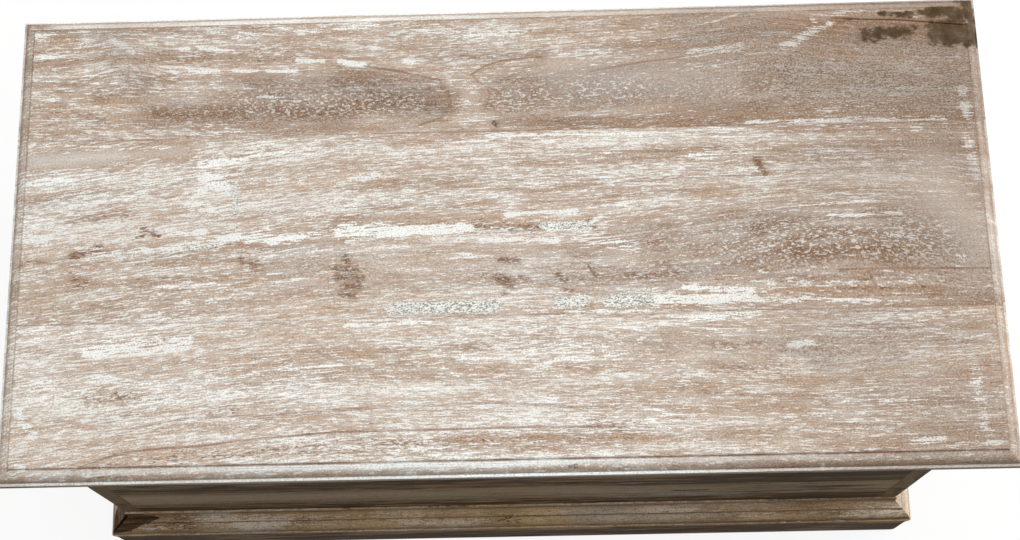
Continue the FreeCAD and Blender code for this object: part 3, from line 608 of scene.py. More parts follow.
# each board: where the grain drifts and its heart runs (along, across, below), swirls in it, then the marks.
# A mark is a stroke: two ends along and across the lid, half width and strength.
lidBoards = {
    "front": {
        "front": -222.5,
        "width": 142.5,
        "seed": 3,
        "woodDepth": 0.14,
        "limePores": 0.56,
        "dusk": 0.3,
        "ringWidth": 7.5,
        "drift": [
            (-450, -26), (-344, -14), (-267, -6), (-145, 2), (107, 2), (300, -2), (450, 0),
        ],
        "heart": [
            (-450, -85, 60), (-200, -100, 40), (0, -120, 16), (80, -123, 10), (160, -120, 22),
            (300, -115, 45), (450, -110, 55),
        ],
        "swirls": [
            (265, -116, 45, 16, 7, 0), (60, -120, 170, 22, 8, 0), (-330, -150, 60, 14, 4, 0),
        ],
        "lime": [
            (-369, -105, -282, -99, 8, 0.8), (-279, -101, -154, -108, 7, 0.4),
            (-422, -137, -399, -135, 5.5, 0.7), (-430, -161, -416, -179, 5.5, 0.7),
            (-432, -201, -425, -210, 4.5, 0.7), (-420, -148, -394, -144, 3.5, 0.5),
            (-141, -86, -65, -85, 2, 0.8), (-65, -87, 51, -83, 2, 0.6), (-32, -120, 120, -132, 13, 0.25),
            (50, -108, 139, -115, 7, 0.3), (-332, -134, -252, -131, 3.5, 0.5),
            (-234, -129, -145, -122, 3.5, 0.5), (158, -86, 229, -83, 3.5, 0.7),
            (254, -112, 274, -111, 3, 0.65), (328, -165, 380, -164, 2.5, 0.6),
            (354, -200, 381, -199, 3.5, 0.6), (413, -139, 420, -201, 6, 0.5),
            (385, -205, 428, -204, 3.5, 0.5),
        ],
        "bare": [
            (-378, -214, -267, -200, 6, 0.35), (-267, -200, -48, -193, 6, 0.35),
            (-48, -193, 107, -193, 6, 0.3), (-367, -149, -331, -145, 7, 0.4),
            (185, -129, 243, -135, 7, 0.3), (172, -153, 213, -156, 2, 0.3),
            (-260, -162, -237, -161, 4.5, 0.4), (83, -181, 118, -186, 7, 0.3),
        ],
        "haze": [
            (258, -113, 287, -132, 10.5, 0.5), (307, -100, 428, -210, 44, 0.35),
            (400, -120, 430, -190, 24, 0.25),
        ],
        "stain": [
            (52, -215, 62, -216, 2, 0.75), (257, -120, 274, -119, 3, 0.22),
        ],
        "dots": [
            (120, -114, 340, -116, 13, 0.6),
        ],
        "lines": [
            ([(-378, -211), (-344, -199), (-320, -195), (-267, -192), (-221, -187),
              (-145, -182), (-48, -182), (31, -181), (107, -183)], 0.8),
            ([(-327, -175), (-280, -167), (-209, -166), (-145, -162),
              (-72, -160), (-4, -159), (60, -164)], 0.5),
            ([(340, -73), (352, -94), (362, -106)], 0.35),
        ],
    },
    "middle": {
        "front": -80,
        "width": 176,
        "seed": 5,
        "woodDepth": 0.24,
        "limePores": 0.52,
        "dusk": 0.36,
        "ringWidth": 7,
        "drift": [
            (-450, -28), (-300, -10), (-150, 5), (0, 12), (150, 12), (300, 4), (450, 2),
        ],
        "heart": [
            (-450, 20, 60), (-200, 10, 50), (0, -10, 45), (120, -30, 38), (180, -38, 28), (260, -38, 12),
            (350, -36, 6), (450, -36, 4),
        ],
        "swirls": [
            (330, 0, 150, 56, 0, 34), (237, 55, 26, 12, 6, 0), (-10, 2, 90, 16, 5, 0),
        ],
        "deep": [
            (-420, 40, -330, 20, 12, 0.12),
        ],
        "veil": [
            (-430, 77, -350, 81, 8, 0.46), (-350, 81, -290, 84, 5, 0.3), (390, 40, 430, -30, 26, 0.35),
        ],
        "plain": [
            (-430, 76, -290, 84, 7, 0.7), (-150, 12, 0, 14, 3, 0.6),
        ],
        "lime": [
            (-420, 68, -340, 62, 15, 0.2), (-431, 93, -360, 90, 1.5, 0.7), (-353, 88, -304, 88, 2, 0.6),
            (-432, 56, -397, 58, 4, 0.7), (-434, 37, -412, 37, 1.5, 0.6), (-426, 40, -330, 48, 2, 0.5),
            (-330, 50, -275, 63, 3, 0.5), (-275, 70, -234, 74, 4.5, 0.8), (-272, 57, -249, 45, 9, 0.75),
            (-307, 37, -270, 43, 3.5, 0.7), (-283, 31, -251, 24, 7.5, 0.7), (-229, 78, -174, 82, 3.5, 0.6),
            (-229, 52, -183, 55, 3, 0.6), (-434, 3, -416, 1, 8, 0.85), (-428, -10, -419, -9, 5.5, 0.6),
            (-383, -8, -334, -18, 5.5, 0.6), (-337, -13, -285, -10, 4.5, 0.75),
            (-285, -8, -261, -9, 4.5, 0.8), (-301, 5, -269, 5, 4.5, 0.8), (-261, -8, -240, 0, 6.5, 0.85),
            (-230, -2, -210, 3, 6.5, 0.75), (-209, -4, -167, 0, 4.5, 0.7),
            (-409, -24, -318, -22, 1.5, 0.6), (-311, -47, -260, -45, 2, 0.6),
            (-330, -76, -240, -76, 1.5, 0.7), (-213, -47, -146, -34, 2.5, 0.4),
            (-146, 2, -91, 2, 6.5, 0.9), (-91, 2, -28, 2, 5, 0.9), (-17, -8, 51, -11, 3, 0.8),
            (6, 15, 68, 16, 3, 0.8), (95, 23, 114, 22, 3.5, 0.7), (76, -9, 118, -17, 8, 0.5),
            (81, 6, 90, 11, 2.5, 0.7), (-137, 54, -110, 55, 3.5, 0.8), (91, 46, 165, 54, 1.5, 0.5),
            (-110, 66, 1, 70, 2, 0.5), (-80, -22, -8, -26, 4.5, 0.45), (-91, -35, -1, -38, 3.5, 0.35),
            (-2, -65, 38, -63, 2.5, 0.5), (136, -69, 225, -68, 6, 0.8), (162, -57, 223, -61, 2.5, 0.9),
            (227, -70, 336, -73, 2.5, 0.7), (51, -79, 131, -78, 1.5, 0.8), (196, 86, 242, 82, 4.5, 0.55),
            (174, 68, 248, 73, 2.5, 0.6), (183, 58, 274, 61, 1.5, 0.5), (428, 76, 432, 39, 5.5, 0.6),
            (271, 17, 343, 20, 1.5, 0.7), (297, 7, 360, 8, 2.5, 0.6), (341, -13, 403, -17, 2, 0.5),
            (410, -33, 432, -37, 3.5, 0.4), (-11, 92, 130, 90, 2.5, 0.7), (-63, 86, -11, 87, 2.5, 0.55),
            (130, 92, 231, 92, 2, 0.5),
        ],
        "bare": [
            (-389, -15, -366, -8, 3.5, 0.8), (-327, 8, -312, 4, 3.5, 0.7), (-335, 1, -326, 2, 2, 0.6),
            (-234, -24, -220, -29, 4.5, 0.6), (-388, -36, -379, -41, 4.5, 0.45),
            (-142, -21, -139, -27, 3, 0.8), (-150, -33, -130, -34, 3, 0.8),
            (-148, -41, -126, -42, 3.5, 0.9), (-143, -49, -128, -50, 3, 0.8),
            (-144, -57, -134, -58, 3, 0.7), (-1, -28, 15, -29, 2.5, 0.9), (-2, -45, 8, -51, 4.5, 0.95),
            (1, -59, 4, -60, 2, 0.7), (16, -44, 23, -46, 2, 0.8), (50, -43, 57, -48, 2.5, 0.9),
            (79, -35, 84, -44, 2, 0.9), (56, -57, 63, -58, 1.5, 0.7), (-25, 5, 38, 1, 3.5, 0.6),
            (79, 9, 88, -4, 2, 0.6), (31, 1, 40, 5, 2.5, 0.6), (231, -50, 364, -52, 4.5, 0.35),
            (234, -5, 270, 8, 8, 0.35), (268, -25, 357, -32, 10.5, 0.3), (-393, 19, -338, 23, 4.5, 0.35),
            (235, 62, 240, 49, 3.5, 0.8), (301, -60, 390, -63, 2.5, 0.35),
        ],
        "grey": [
            (-99, -71, -7, -71, 5.5, 0.95), (50, -69, 72, -68, 5.5, 0.8), (94, -69, 132, -68, 5.5, 0.85),
            (-285, -9, -261, -10, 3.5, 0.7), (40, 3, 77, 3, 4, 0.9), (-245, 52, -241, 21, 3, 0.7),
            (-350, -16, -337, -14, 2.5, 0.6), (-231, 4, -228, -13, 1.5, 0.5),
        ],
        "haze": [
            (360, 1, 429, -66, 26, 0.4), (300, 60, 430, 60, 24, 0.3), (394, 87, 435, 37, 9, 0.5),
        ],
        "dots": [
            (200, -15, 390, -14, 24, 1), (120, -10, 220, -25, 14, 0.8), (-190, -30, 180, -42, 16, 0.75),
        ],
        "lines": [
            ([(302, -44), (356, -44), (436, -46)], 0.8),
            ([(326, -45), (340, -73)], 0.35),
            ([(-421, -20), (-386, -26), (-318, -19), (-246, -8)], 0.4),
        ],
    },
    "back": {
        "front": 96,
        "width": 126.5,
        "seed": 8,
        "woodDepth": 0.31,
        "limePores": 0.43,
        "dusk": 0.52,
        "ringWidth": 4.6,
        "drift": [
            (-450, 2), (-300, 0), (-100, -2), (0, 0), (150, 8), (260, 14), (450, 12),
        ],
        "heart": [
            (-450, 138, 34), (-330, 134, 20), (-124, 134, 8), (-80, 130, 20), (-46, 128, 30),
            (-25, 128, 36), (5, 128, 28), (60, 132, 12), (150, 138, 10), (230, 145, 24), (300, 140, 36),
            (450, 135, 45),
        ],
        "swirls": [
            (-170, 130, 130, 26, 12, 0), (110, 132, 130, 26, 10, 0), (-350, 175, 30, 24, 0, 9),
            (250, 180, 60, 30, 0, 12),
        ],
        "deep": [
            (-60, 172, 40, 172, 9, 0.3), (-220, 138, -66, 130, 17, 0.3), (-330, 122, -220, 128, 10, 0.2),
            (12, 140, 80, 138, 12, 0.22),
        ],
        "veil": [
            (60, 150, 210, 140, 24, 0.3), (-28, 144, -24, 114, 8, 0.26),
        ],
        "lime": [
            (-29, 160, -24, 105, 13, 0.36), (-435, 202, -419, 202, 5, 0.6),
            (-434, 182, -407, 181, 2.5, 0.7), (-402, 196, -372, 192, 5.5, 0.6),
            (-432, 163, -358, 160, 1, 0.6), (-430, 148, -416, 138, 6.5, 0.5),
            (-429, 103, -416, 100, 3.5, 0.5), (-363, 197, -351, 191, 4, 0.8),
            (-349, 190, -343, 184, 3, 0.7), (-298, 186, -290, 186, 2, 0.9),
            (-279, 186, -253, 183, 2, 0.85), (-232, 191, -221, 190, 1.5, 0.8),
            (-242, 201, -207, 199, 1.5, 0.7), (-187, 172, -163, 170, 2.5, 1),
            (-288, 164, -262, 163, 2.5, 0.95), (-247, 163, -225, 162, 2, 0.8),
            (-215, 162, -187, 161, 2, 0.9), (-223, 137, -203, 135, 2, 0.7),
            (-313, 164, -301, 163, 1.5, 0.8), (-147, 169, -125, 165, 3, 1), (-86, 168, -79, 167, 3, 1),
            (-185, 199, -112, 206, 3, 0.5), (-30, 192, 28, 195, 2.5, 0.8), (-6, 184, 71, 188, 1, 0.7),
            (71, 188, 165, 198, 1, 0.7), (180, 171, 226, 172, 4.5, 0.55), (181, 194, 228, 208, 1, 0.7),
            (176, 200, 219, 212, 1, 0.6), (266, 175, 287, 183, 4.5, 0.62), (287, 186, 311, 194, 3.5, 0.62),
            (295, 199, 300, 191, 3.5, 0.5), (319, 207, 340, 208, 3, 0.6), (293, 111, 351, 111, 6.5, 0.4),
            (228, 97, 322, 97, 3.5, 0.8), (322, 97, 409, 97, 3.5, 0.7), (427, 127, 430, 98, 4.5, 0.75),
            (351, 108, 374, 110, 2, 0.4),
        ],
        "bare": [
            (-433, 126, -370, 119, 5.5, 0.3), (-314, 120, -147, 113, 11, 0.4),
            (-371, 142, -306, 155, 7.5, 0.3), (-142, 156, -49, 123, 13, 0.45),
            (57, 100, 222, 103, 4.5, 0.4), (95, 149, 188, 162, 9.5, 0.3),
            (-326, 181, -194, 177, 7.5, 0.25), (168, 122, 241, 112, 7.5, 0.35),
            (1, 109, 93, 102, 5.5, 0.4),
        ],
        "haze": [
            (-369, 202, -334, 151, 13, 0.4), (234, 201, 261, 172, 13, 0.6), (190, 192, 334, 128, 26, 0.55),
            (280, 149, 425, 125, 26, 0.75), (330, 170, 440, 160, 14, 0.6),
            (-138, 140, -54, 118, 9.5, 0.35),
        ],
        "stain": [
            (358, 204, 386, 202, 3, 0.8), (405, 205, 450, 204, 5.5, 1.1), (384, 204, 408, 204, 3, 0.9),
            (412, 193, 450, 192, 9, 0.8), (343, 184, 380, 185, 8, 0.75), (411, 181, 450, 180, 10, 1.1),
            (328, 198, 339, 198, 1.5, 0.8), (334, 175, 339, 173, 2, 0.7), (-8, 108, 1, 97, 4.5, 0.42),
            (438, 215, 450, 190, 8, 0.9), (384, 189, 412, 190, 4, 0.6),
        ],
        "dots": [
            (-320, 124, -200, 132, 13, 0.8), (-230, 132, -80, 127, 20, 1), (10, 128, 120, 136, 19, 0.95),
            (120, 138, 270, 126, 15, 0.8),
        ],
        "lines": [
            ([(-124, 164), (-91, 158), (-54, 148), (-45, 133), (-44, 121), (-54, 110), (-73, 104)], 0.75),
            ([(-24, 153), (-12, 161), (3, 166), (40, 169)], 0.8),
            ([(86, 153), (133, 161), (170, 165)], 0.5),
            ([(-24, 153), (-18, 145), (-7, 139), (2, 132)], 0.5),
            ([(-54, 144), (-46, 128), (-47, 116), (-54, 108)], 0.5),
            ([(-10, 141), (-7, 131), (-13, 117)], 0.5),
            ([(314, 201), (377, 197), (440, 190)], 1),
        ],
        "cracks": [
            {
                "line": [(300, 201), (377, 197), (450, 189)],
                "start": 312,
                "end": 446,
                "depth": 1.7,
                "half": 0.45,
            },
        ],
    },
}



def swung(share, value):
    # a base and a swing about it
    return share[0] + share[1] * value


def edgeProfile(sizes):
    # inset from the edge and depth below the top, from the outside in
    r, low = sizes["roundRadius"], sizes["roundRadius"] + sizes["quirkDepth"]
    inner = sizes["ledge"] + r
    points = [(inset, low + down) for inset, down in sizes["ledgeRound"]] + [(sizes["ledge"], low)]
    points += [(inner - r * math.cos(a), low - r * math.sin(a)) for a in np.radians(sizes["roundAngles"])]
    points += [(inner + inset, down) for inset, down in sizes["quirkRound"]]
    return np.array(points)


profile = edgeProfile(lid)
quirkInset = lid["ledge"] + lid["roundRadius"]


def lidLoop(width, mouldedFront, mouldedBack):
    thick, bevel, sideRow = lid["thickness"], lid["seamBevel"], lid["sideRow"]
    low = profile[-1, 0] if mouldedFront else bevel
    high = width - (profile[-1, 0] if mouldedBack else bevel)
    if mouldedFront:
        loop = [(0, thick), (0, sideRow)] + [tuple(p) for p in profile]
    else:
        foot, near, far = lid["groove"]
        loop = [(0, thick), (0, far), (foot, far), (foot, near), (0, near), (0, bevel), (low, 0)]
    loop += [(w, 0) for w in evenly(low, high, lid["rowStep"])]
    if mouldedBack:
        loop += [(width - p[0], p[1]) for p in profile[::-1]] + [(width, sideRow), (width, thick)]
    else:
        reach, near, far = lid["tongue"]
        loop += [(high, 0), (width, bevel), (width, near), (width + reach, near), (width + reach, far)]
        loop += [(width, far), (width, thick)]
    loop += [(w, thick) for w in evenly(width, 0, lid["underStep"])]
    return np.array(loop)


def openCrack(crack, front, stations, loop, across, depth):
    # the rows near the crack bend to it, and its lips part between its ends
    openRun, closeRun = lid["wear"]["crackRuns"]
    target = follow(crack["line"], stations, 1) - front
    opened = ridge(stations, crack["start"], crack["start"] + openRun, crack["end"], crack["end"] + closeRun)
    rows = np.where(np.abs(loop[:, 1]) < tiny)[0]
    middle = rows[np.argmin(np.abs(loop[rows, 0] - target.mean()))]
    fromMiddle = np.abs(loop[None, :, 0] - loop[middle, 0])
    shift = (target - loop[middle, 0])[:, None] * np.clip(1 - fromMiddle / lid["wear"]["crackReach"], 0, 1)
    across += np.where(np.isin(np.arange(len(loop)), rows)[None, :], shift, 0)
    for lip in (-1, 1):
        closed = across[:, middle] + lip * crack["half"]
        across[:, middle + lip] = across[:, middle + lip] * (1 - opened) + closed * opened
    depth[:, middle] += crack["depth"] * opened


def lidBoard(label, board):
    wear, seed, half = lid["wear"], board["seed"], lid["length"] / 2
    atFront, atBack = label == "front", label == "back"
    loop = lidLoop(board["width"], atFront, atBack)
    lipEnd = np.interp(-lid["groove"][1], -profile[:, 1], profile[:, 0])
    insets = np.sort(np.append(profile[:, 0], [lipEnd, lipEnd - 2 * slack]))
    plainRun = evenly(insets[-1] - half, half - insets[-1], lid["stationStep"])
    stations = np.concatenate([insets - half, plainRun, half - insets[::-1]])
    along, across, depth = boardGrid(stations, loop)

    # gentle hollows from the plane, and the crack
    hollow = 0.5 + 0.5 * boardNoise(along, across + board["front"], lid["noises"]["hollow"], seed)
    depth += np.where(loop[None, :, 1] < wear["topFace"], lid["hollow"] * hollow, 0)
    for crack in board.get("cracks", []):
        openCrack(crack, board["front"], stations, loop, across, depth)

    # the moulding across the ends
    fromEnd = half - np.abs(stations)
    cut = np.interp(fromEnd, profile[:, 0], profile[:, 1])
    depth = np.maximum(depth, cut[:, None])
    if not atFront:
        endLips(across, loop, lid["groove"], np.where(fromEnd < lipEnd - slack)[0], True)
    edge = fromEnd[:, None] * np.ones_like(along)
    if atFront:
        edge = np.minimum(edge, across)
    if atBack:
        edge = np.minimum(edge, board["width"] - across)
    y = across + board["front"]

    def noise(key):
        return boardNoise(along, y, lid["noises"][key], seed)

    def marked(key):
        return strokeMask(along, y, board.get(key, []))

    # small chips along the arris of the quirk
    chip = wear["chip"]
    arris = np.exp(-((edge - quirkInset - chip["inset"]) / chip["spread"]) ** 2) * (depth < chip["above"])
    depth += arris * lid["chip"] * np.clip(noise("chip") - chip["least"], 0, 1)

    # dark lines in the grain, round the rim and at the seams
    place, rings, _ = grainFields(along, y, depth, board, seed)
    side, strength = lineMarks(along, y, board["lines"])
    seams = [seam for seam, moulded in ((0, atFront), (board["width"], atBack)) if not moulded]
    rims = [(edge - quirkInset - wear["rimInset"], swung(wear["rimLine"], noise("rim")))]
    rims += [(across - seam, swung(wear["seamLine"], noise("seam"))) for seam in seams]
    for gap, amount in rims:
        closer = (np.abs(gap) < wear["rimReach"]) & (np.abs(gap) < np.abs(side))
        side = np.where(closer, gap, side)
        strength = np.where(closer, np.clip(amount, 0, 1), strength)

    under = smoothStep(depth, *wear["under"])
    top = 1 - under
    moulding = 1 - smoothStep(edge, quirkInset - wear["mouldingEdge"], quirkInset)
    crown = moulding * (1 - smoothStep(depth, *wear["crown"]))
    lowRound = moulding * ridge(depth, *wear["lowRound"])
    ledge = moulding * ridge(depth, *wear["ledge"])
    ragged = wear["ragged"][0] * noise("ragged") + wear["ragged"][1] * noise("drawnOut")
    # towards the right the lid's wood darkens and loses lime and veil: partly painted light falloff, partly
    # dust
    dusty = smoothStep(along, *wear["dusty"])
    farRight = smoothStep(along, *wear["farRight"])
    leftEnd = moulding * (1 - smoothStep(along + half, *wear["leftEnd"]))
    deep, pores, crownLimeAndHighlight, ledgeHighlight = (wear[key] for key in ("deep", "pores", "crownLimeAndHighlight", "ledgeHighlight"))
    wood = board["woodDepth"] + board["dusk"] * dusty + deep["under"] * under + deep["leftEnd"] * leftEnd
    # the moulding's wood is lighter, less so towards the right: painted light on the moulding
    wood = wood - deep["moulding"] * moulding * top * (1 - dusty)
    poreLime = board["limePores"] - pores["plain"] * marked("plain") + pores["ragged"] * ragged
    poreLime = poreLime - pores["dusk"] * board["dusk"] * dusty
    poreLime = poreLime - pores["lowRound"] * lowRound - pores["farRight"] * farRight
    # the crown's white veil is partly lime and partly painted highlight; the white line along the ledge is a
    # painted highlight
    veil = crownLimeAndHighlight["full"] * crown * (1 - crownLimeAndHighlight["dusty"] * dusty) * (1 - crownLimeAndHighlight["leftEnd"] * leftEnd)
    veil = veil + ledge * (ledgeHighlight["full"] - ledgeHighlight["dusty"] * dusty)
    marks = {
        "ringPhase": rings,
        "dotZone": marked("dots") * (depth < wear["dotsAbove"]),
        "woodDepth": wood + marked("deep"),
        "limePores": poreLime * (1 - pores["under"] * under),
        "limeCover": marked("lime") * top,
        "bareWood": marked("bare") * top,
        "greyTicks": wear["greyTicks"] * marked("grey") * top,
        "greyHaze": marked("haze") * swung(wear["haze"], ragged) * top,
        "stainAndShade": marked("stain") * top,
        "lineSide": side,
        "lineStrength": strength * top * swung(wear["grainLine"], noise("line")),
        "limeVeilAndHighlight": veil * swung(wear["veil"], ragged) + marked("veil") * top,
    }
    name = f"lid{label.capitalize()}Board"
    axes = (0, board["front"], lid["top"]), (1, 0, 0), (0, 1, 0), (0, 0, -1)
    mesh = loftBoard(name, along, across, depth, axes)
    writeMarks(mesh, place, marks)
    addPiece(name, mesh, limedWoods["lid_wood"], "lid", "lid_wood", f"lid_{label}_board")


for label, board in lidBoards.items():
    lidBoard(label, board)
print("lid boards laid")


# Walls: three tongued boards a side; the front and back stand in grooves of the ends

walls = {
    "length": 838,
    "depth": 383,
    "foot": 10,
    "course": 447.7 / 3,
    "thickness": 18,
    "bevel": 0.7,
    "tongue": 6,
    "groove": 6.5,
    "cornerTongue": 8,
    "cornerRoom": 0.5,
    "play": 0.1,
    "rowStep": 3.2,
    "innerStep": 13,
    "stationStep": 4.5,
    "hollow": 0.3,
    "woodDepth": 0.52,
    "limePores": 0.4,
    "seed": 100,
    "seedStep": 10,
    "grain": {
        "runs": (-450, -230, 0, 230, 450),
        "end": 500,
        "drifts": (6, 8),
        "heartSide": 34,
        "heartDepth": (6, 44),
        "ringWidth": 7.5,
        "seedStep": 60,
    },
    "noises": {
        "hollow": (90, 30, 0),
        "ragged": (60, 14, 4),
        "blotch": (260, 22, 5),
        "bare": (70, 24, 6),
        "grey": (110, 30, 7),
        "stain": (160, 26, 8),
        "band": (90, 20, 9),
        "dirt": (130, 6, 10),
    },
    "wear": {
        "inside": (10, 16),
        "band": (132, 146, 182, 200),
        "bandShare": (0.7, 0.4),
        "low": (96, 170),
        "footDirt": (104, 132),
        "lidShadowBand": (192, 212, 250, 320),
        "lidShadowShare": 0.85,
        "rightShadeAndDirt": (40, 330),
        "rightShadeAndDirtShare": 0.65,
        "cornerShadeAndDirt": (0, 2),
        "dirtAndShadeShare": (0.75, 0.5),
        "otherSidesDirtAndShade": 0.4,
        "deep": {"blotch": 0.36, "inside": 0.2, "low": 0.25},
        "pores": {"ragged": 0.2, "inside": 0.75},
        "cover": {"start": 0.1, "ragged": 0.75, "blotch": 0.3, "most": 0.8},
        "bare": (0.9, 0.3, 0.8),
        "grey": (0.5, 0.1, 0.4),
        "haze": 0.75,
        "stain": {"front": 0.7, "others": 0.5, "less": 0.2, "band": 0.5, "most": 1.2},
        "seam": {"inset": 0.3, "reach": 3, "strength": 0.7, "inside": 0.3},
    },
    # dark places on the front: a knot, painted shade of a gap over the plinth, painted shade of the lid in a
    # band along the top, and painted shade with some dirt on the shaded right-hand end
    "frontDarkPlaces": [
        (176, 164, 206, 165, 4, 1), (280, 98, 392, 96, 9, 1), (250, 122, 400, 124, 13, 0.6),
        (300, 150, 400, 152, 12, 0.5), (-360, 104, -150, 100, 5, 0.8), (-330, 126, 120, 124, 5, 0.6),
        (-420, 210, 420, 214, 9, 0.6),
    ],
}
courseNames = ("lower", "middle", "upper")

# each side: the way it runs, the way in, and the size it runs along
sideRuns = {
    "front": ((1, 0, 0), (0, 1, 0), "length"),
    "back": ((-1, 0, 0), (0, -1, 0), "length"),
    "left": ((0, -1, 0), (1, 0, 0), "depth"),
    "right": ((0, 1, 0), (-1, 0, 0), "depth"),
}

wallGrooveSides = walls["tongue"] - walls["play"], 2 * walls["tongue"] + walls["play"]
wallGroove = (walls["groove"], *wallGrooveSides)


def patches(noise, swing, less, most):
    # only the tops of a noise, up to a limit
    return np.clip(swing * noise - less, 0, most)


def sideOrigin(inward, height):
    reach = walls["length"] / 2 if inward[0] else walls["depth"] / 2
    return -inward[0] * reach, -inward[1] * reach, height


def wallLoop(course):
    width, thick, bevel = walls["course"], walls["thickness"], walls["bevel"]
    tongue = walls["tongue"]
    loop = [(w, 0) for w in spaced(bevel, width - bevel, walls["rowStep"])] + [(width, bevel)]
    if course < len(courseNames) - 1:
        loop += [(width, tongue), (width + tongue, tongue), (width + tongue, 2 * tongue), (width, 2 * tongue)]
    loop += [(w, thick) for w in spaced(width, 0, walls["innerStep"])]
    if course > 0:
        groove, near, far = wallGroove
        loop += [(0, far), (groove, far), (groove, near), (0, near)]
    return np.array(loop + [(0, bevel)])


def wallBoard(side, course, courseName, seed):
    run, inward, extent = sideRuns[side]
    isEnd, isFront, wear = extent == "depth", side == "front", walls["wear"]
    thick, half = walls["thickness"], walls[extent] / 2
    loop = wallLoop(course)
    tongueFace = thick - walls["cornerTongue"]
    shoulder = half - thick
    near, far = shoulder - walls["play"], half - tongueFace + walls["play"]
    if isEnd:
        plainHalf = half
        turns = np.array([half, near, far, near - 2 * slack, far + 2 * slack])
    else:
        plainHalf = shoulder
        turns = np.array([shoulder, shoulder + 2 * slack, shoulder + walls["cornerTongue"]])
    plainRun = evenly(-plainHalf, plainHalf, walls["stationStep"])
    stations = np.unique(np.concatenate([plainRun, turns, -turns]))
    along, across, depth = boardGrid(stations, loop)
    y = across + course * walls["course"]

    def noise(key):
        return boardNoise(along, y, walls["noises"][key], seed)

    depth += np.where(loop[None, :, 1] < slack, walls["hollow"] * (0.5 + 0.5 * noise("hollow")), 0)
    if isEnd:
        cut = (np.abs(stations) > near - slack) & (np.abs(stations) < far + slack)
        depth = np.where(cut[:, None], np.minimum(depth, tongueFace - walls["cornerRoom"]), depth)
    else:
        cut = np.abs(stations) > shoulder + slack
        depth = np.where(cut[:, None], np.maximum(depth, tongueFace), depth)
    if course > 0:
        endLips(across, loop, wallGroove, np.where(cut)[0], not isEnd)

    rng = np.random.default_rng(seed + walls["grain"]["seedStep"])
    middle = (course + 0.5) * walls["course"]
    drifts = [rng.uniform(-swing, swing) for swing in walls["grain"]["drifts"]]
    heartSide = walls["grain"]["heartSide"]
    grain = {
        "drift": [(-walls["grain"]["end"], 0), (0, drifts[0]), (walls["grain"]["end"], drifts[1])],
        "heart": [(x, middle + rng.uniform(-heartSide, heartSide), rng.uniform(*walls["grain"]["heartDepth"]))
                  for x in walls["grain"]["runs"]],
        "ringWidth": walls["grain"]["ringWidth"],
    }
    place, rings, dotZone = grainFields(along, y, depth, grain, seed)
    inside = smoothStep(depth, *wear["inside"])
    outside = 1 - inside
    ragged, blotch = noise("ragged"), noise("blotch")
    band = ridge(y, *wear["band"]) * swung(wear["bandShare"], noise("band"))
    low = 1 - smoothStep(y, *wear["low"])
    gap = np.minimum(across, walls["course"] - across)

    # dirt near the plinth, painted shade of the lid in a band above, and painted shade with some dirt at the
    # front's right and on the right-hand corner
    dirt = 1 - smoothStep(y, *wear["footDirt"]) + wear["lidShadowShare"] * ridge(y, *wear["lidShadowBand"])
    if isFront:
        dirt = dirt + wear["rightShadeAndDirtShare"] * smoothStep(along, *wear["rightShadeAndDirt"])
    if side == "right":
        dirt = dirt + (1 - smoothStep(along + half, *wear["cornerShadeAndDirt"]))
    dirt = dirt * swung(wear["dirtAndShadeShare"], noise("dirt")) * (1 if isFront else wear["otherSidesDirtAndShade"])
    spots = strokeMask(along, y, walls["frontDarkPlaces"]) if isFront else 0
    deep, pores, cover, stain, seam = (wear[key] for key in ("deep", "pores", "cover", "stain", "seam"))
    stainedAndShaded = stain["front" if isFront else "others"] * noise("stain") - stain["less"] - stain["band"] * band
    stainedAndShaded = np.maximum(np.maximum(stainedAndShaded, dirt), spots)
    wood = deep["blotch"] * blotch + deep["inside"] * inside + deep["low"] * low
    covered = cover["start"] + cover["ragged"] * ragged - cover["blotch"] * np.abs(blotch)
    marks = {
        "ringPhase": rings,
        "dotZone": dotZone,
        "woodDepth": walls["woodDepth"] + wood,
        "limePores": (walls["limePores"] + pores["ragged"] * ragged) * (1 - pores["inside"] * inside),
        "limeCover": np.clip(covered, 0, cover["most"]) * outside,
        "bareWood": patches(noise("bare"), *wear["bare"]),
        "greyTicks": patches(noise("grey"), *wear["grey"]) * outside,
        "greyHaze": wear["haze"] * band * outside,
        "stainAndShade": np.clip(stainedAndShaded, 0, stain["most"]) * outside,
        "lineSide": np.clip(gap - seam["inset"], -lineReach[1], lineReach[1]),
        "lineStrength": np.where(gap < seam["reach"], seam["strength"], 0) * (1 - seam["inside"] * inside),
        "limeVeilAndHighlight": 0,
    }
    name = f"{side}Wall{courseName.capitalize()}Board"
    axes = sideOrigin(inward, walls["foot"] + course * walls["course"]), run, (0, 0, 1), inward
    mesh = loftBoard(name, along, across, depth, axes)
    writeMarks(mesh, place, marks)
    addPiece(name, mesh, limedWoods["wall_wood"], "carcass", "wall_wood", f"{side}_wall_{courseName}_board")


for sideIndex, side in enumerate(sideRuns):
    firstSeed = walls["seed"] + walls["seedStep"] * sideIndex
    for course, courseName in enumerate(courseNames):
        wallBoard(side, course, courseName, firstSeed + course)
print("wall boards stood")


# Plinth: a plain face, a ledge, a round, a hollow and a lip, mitred at the corners

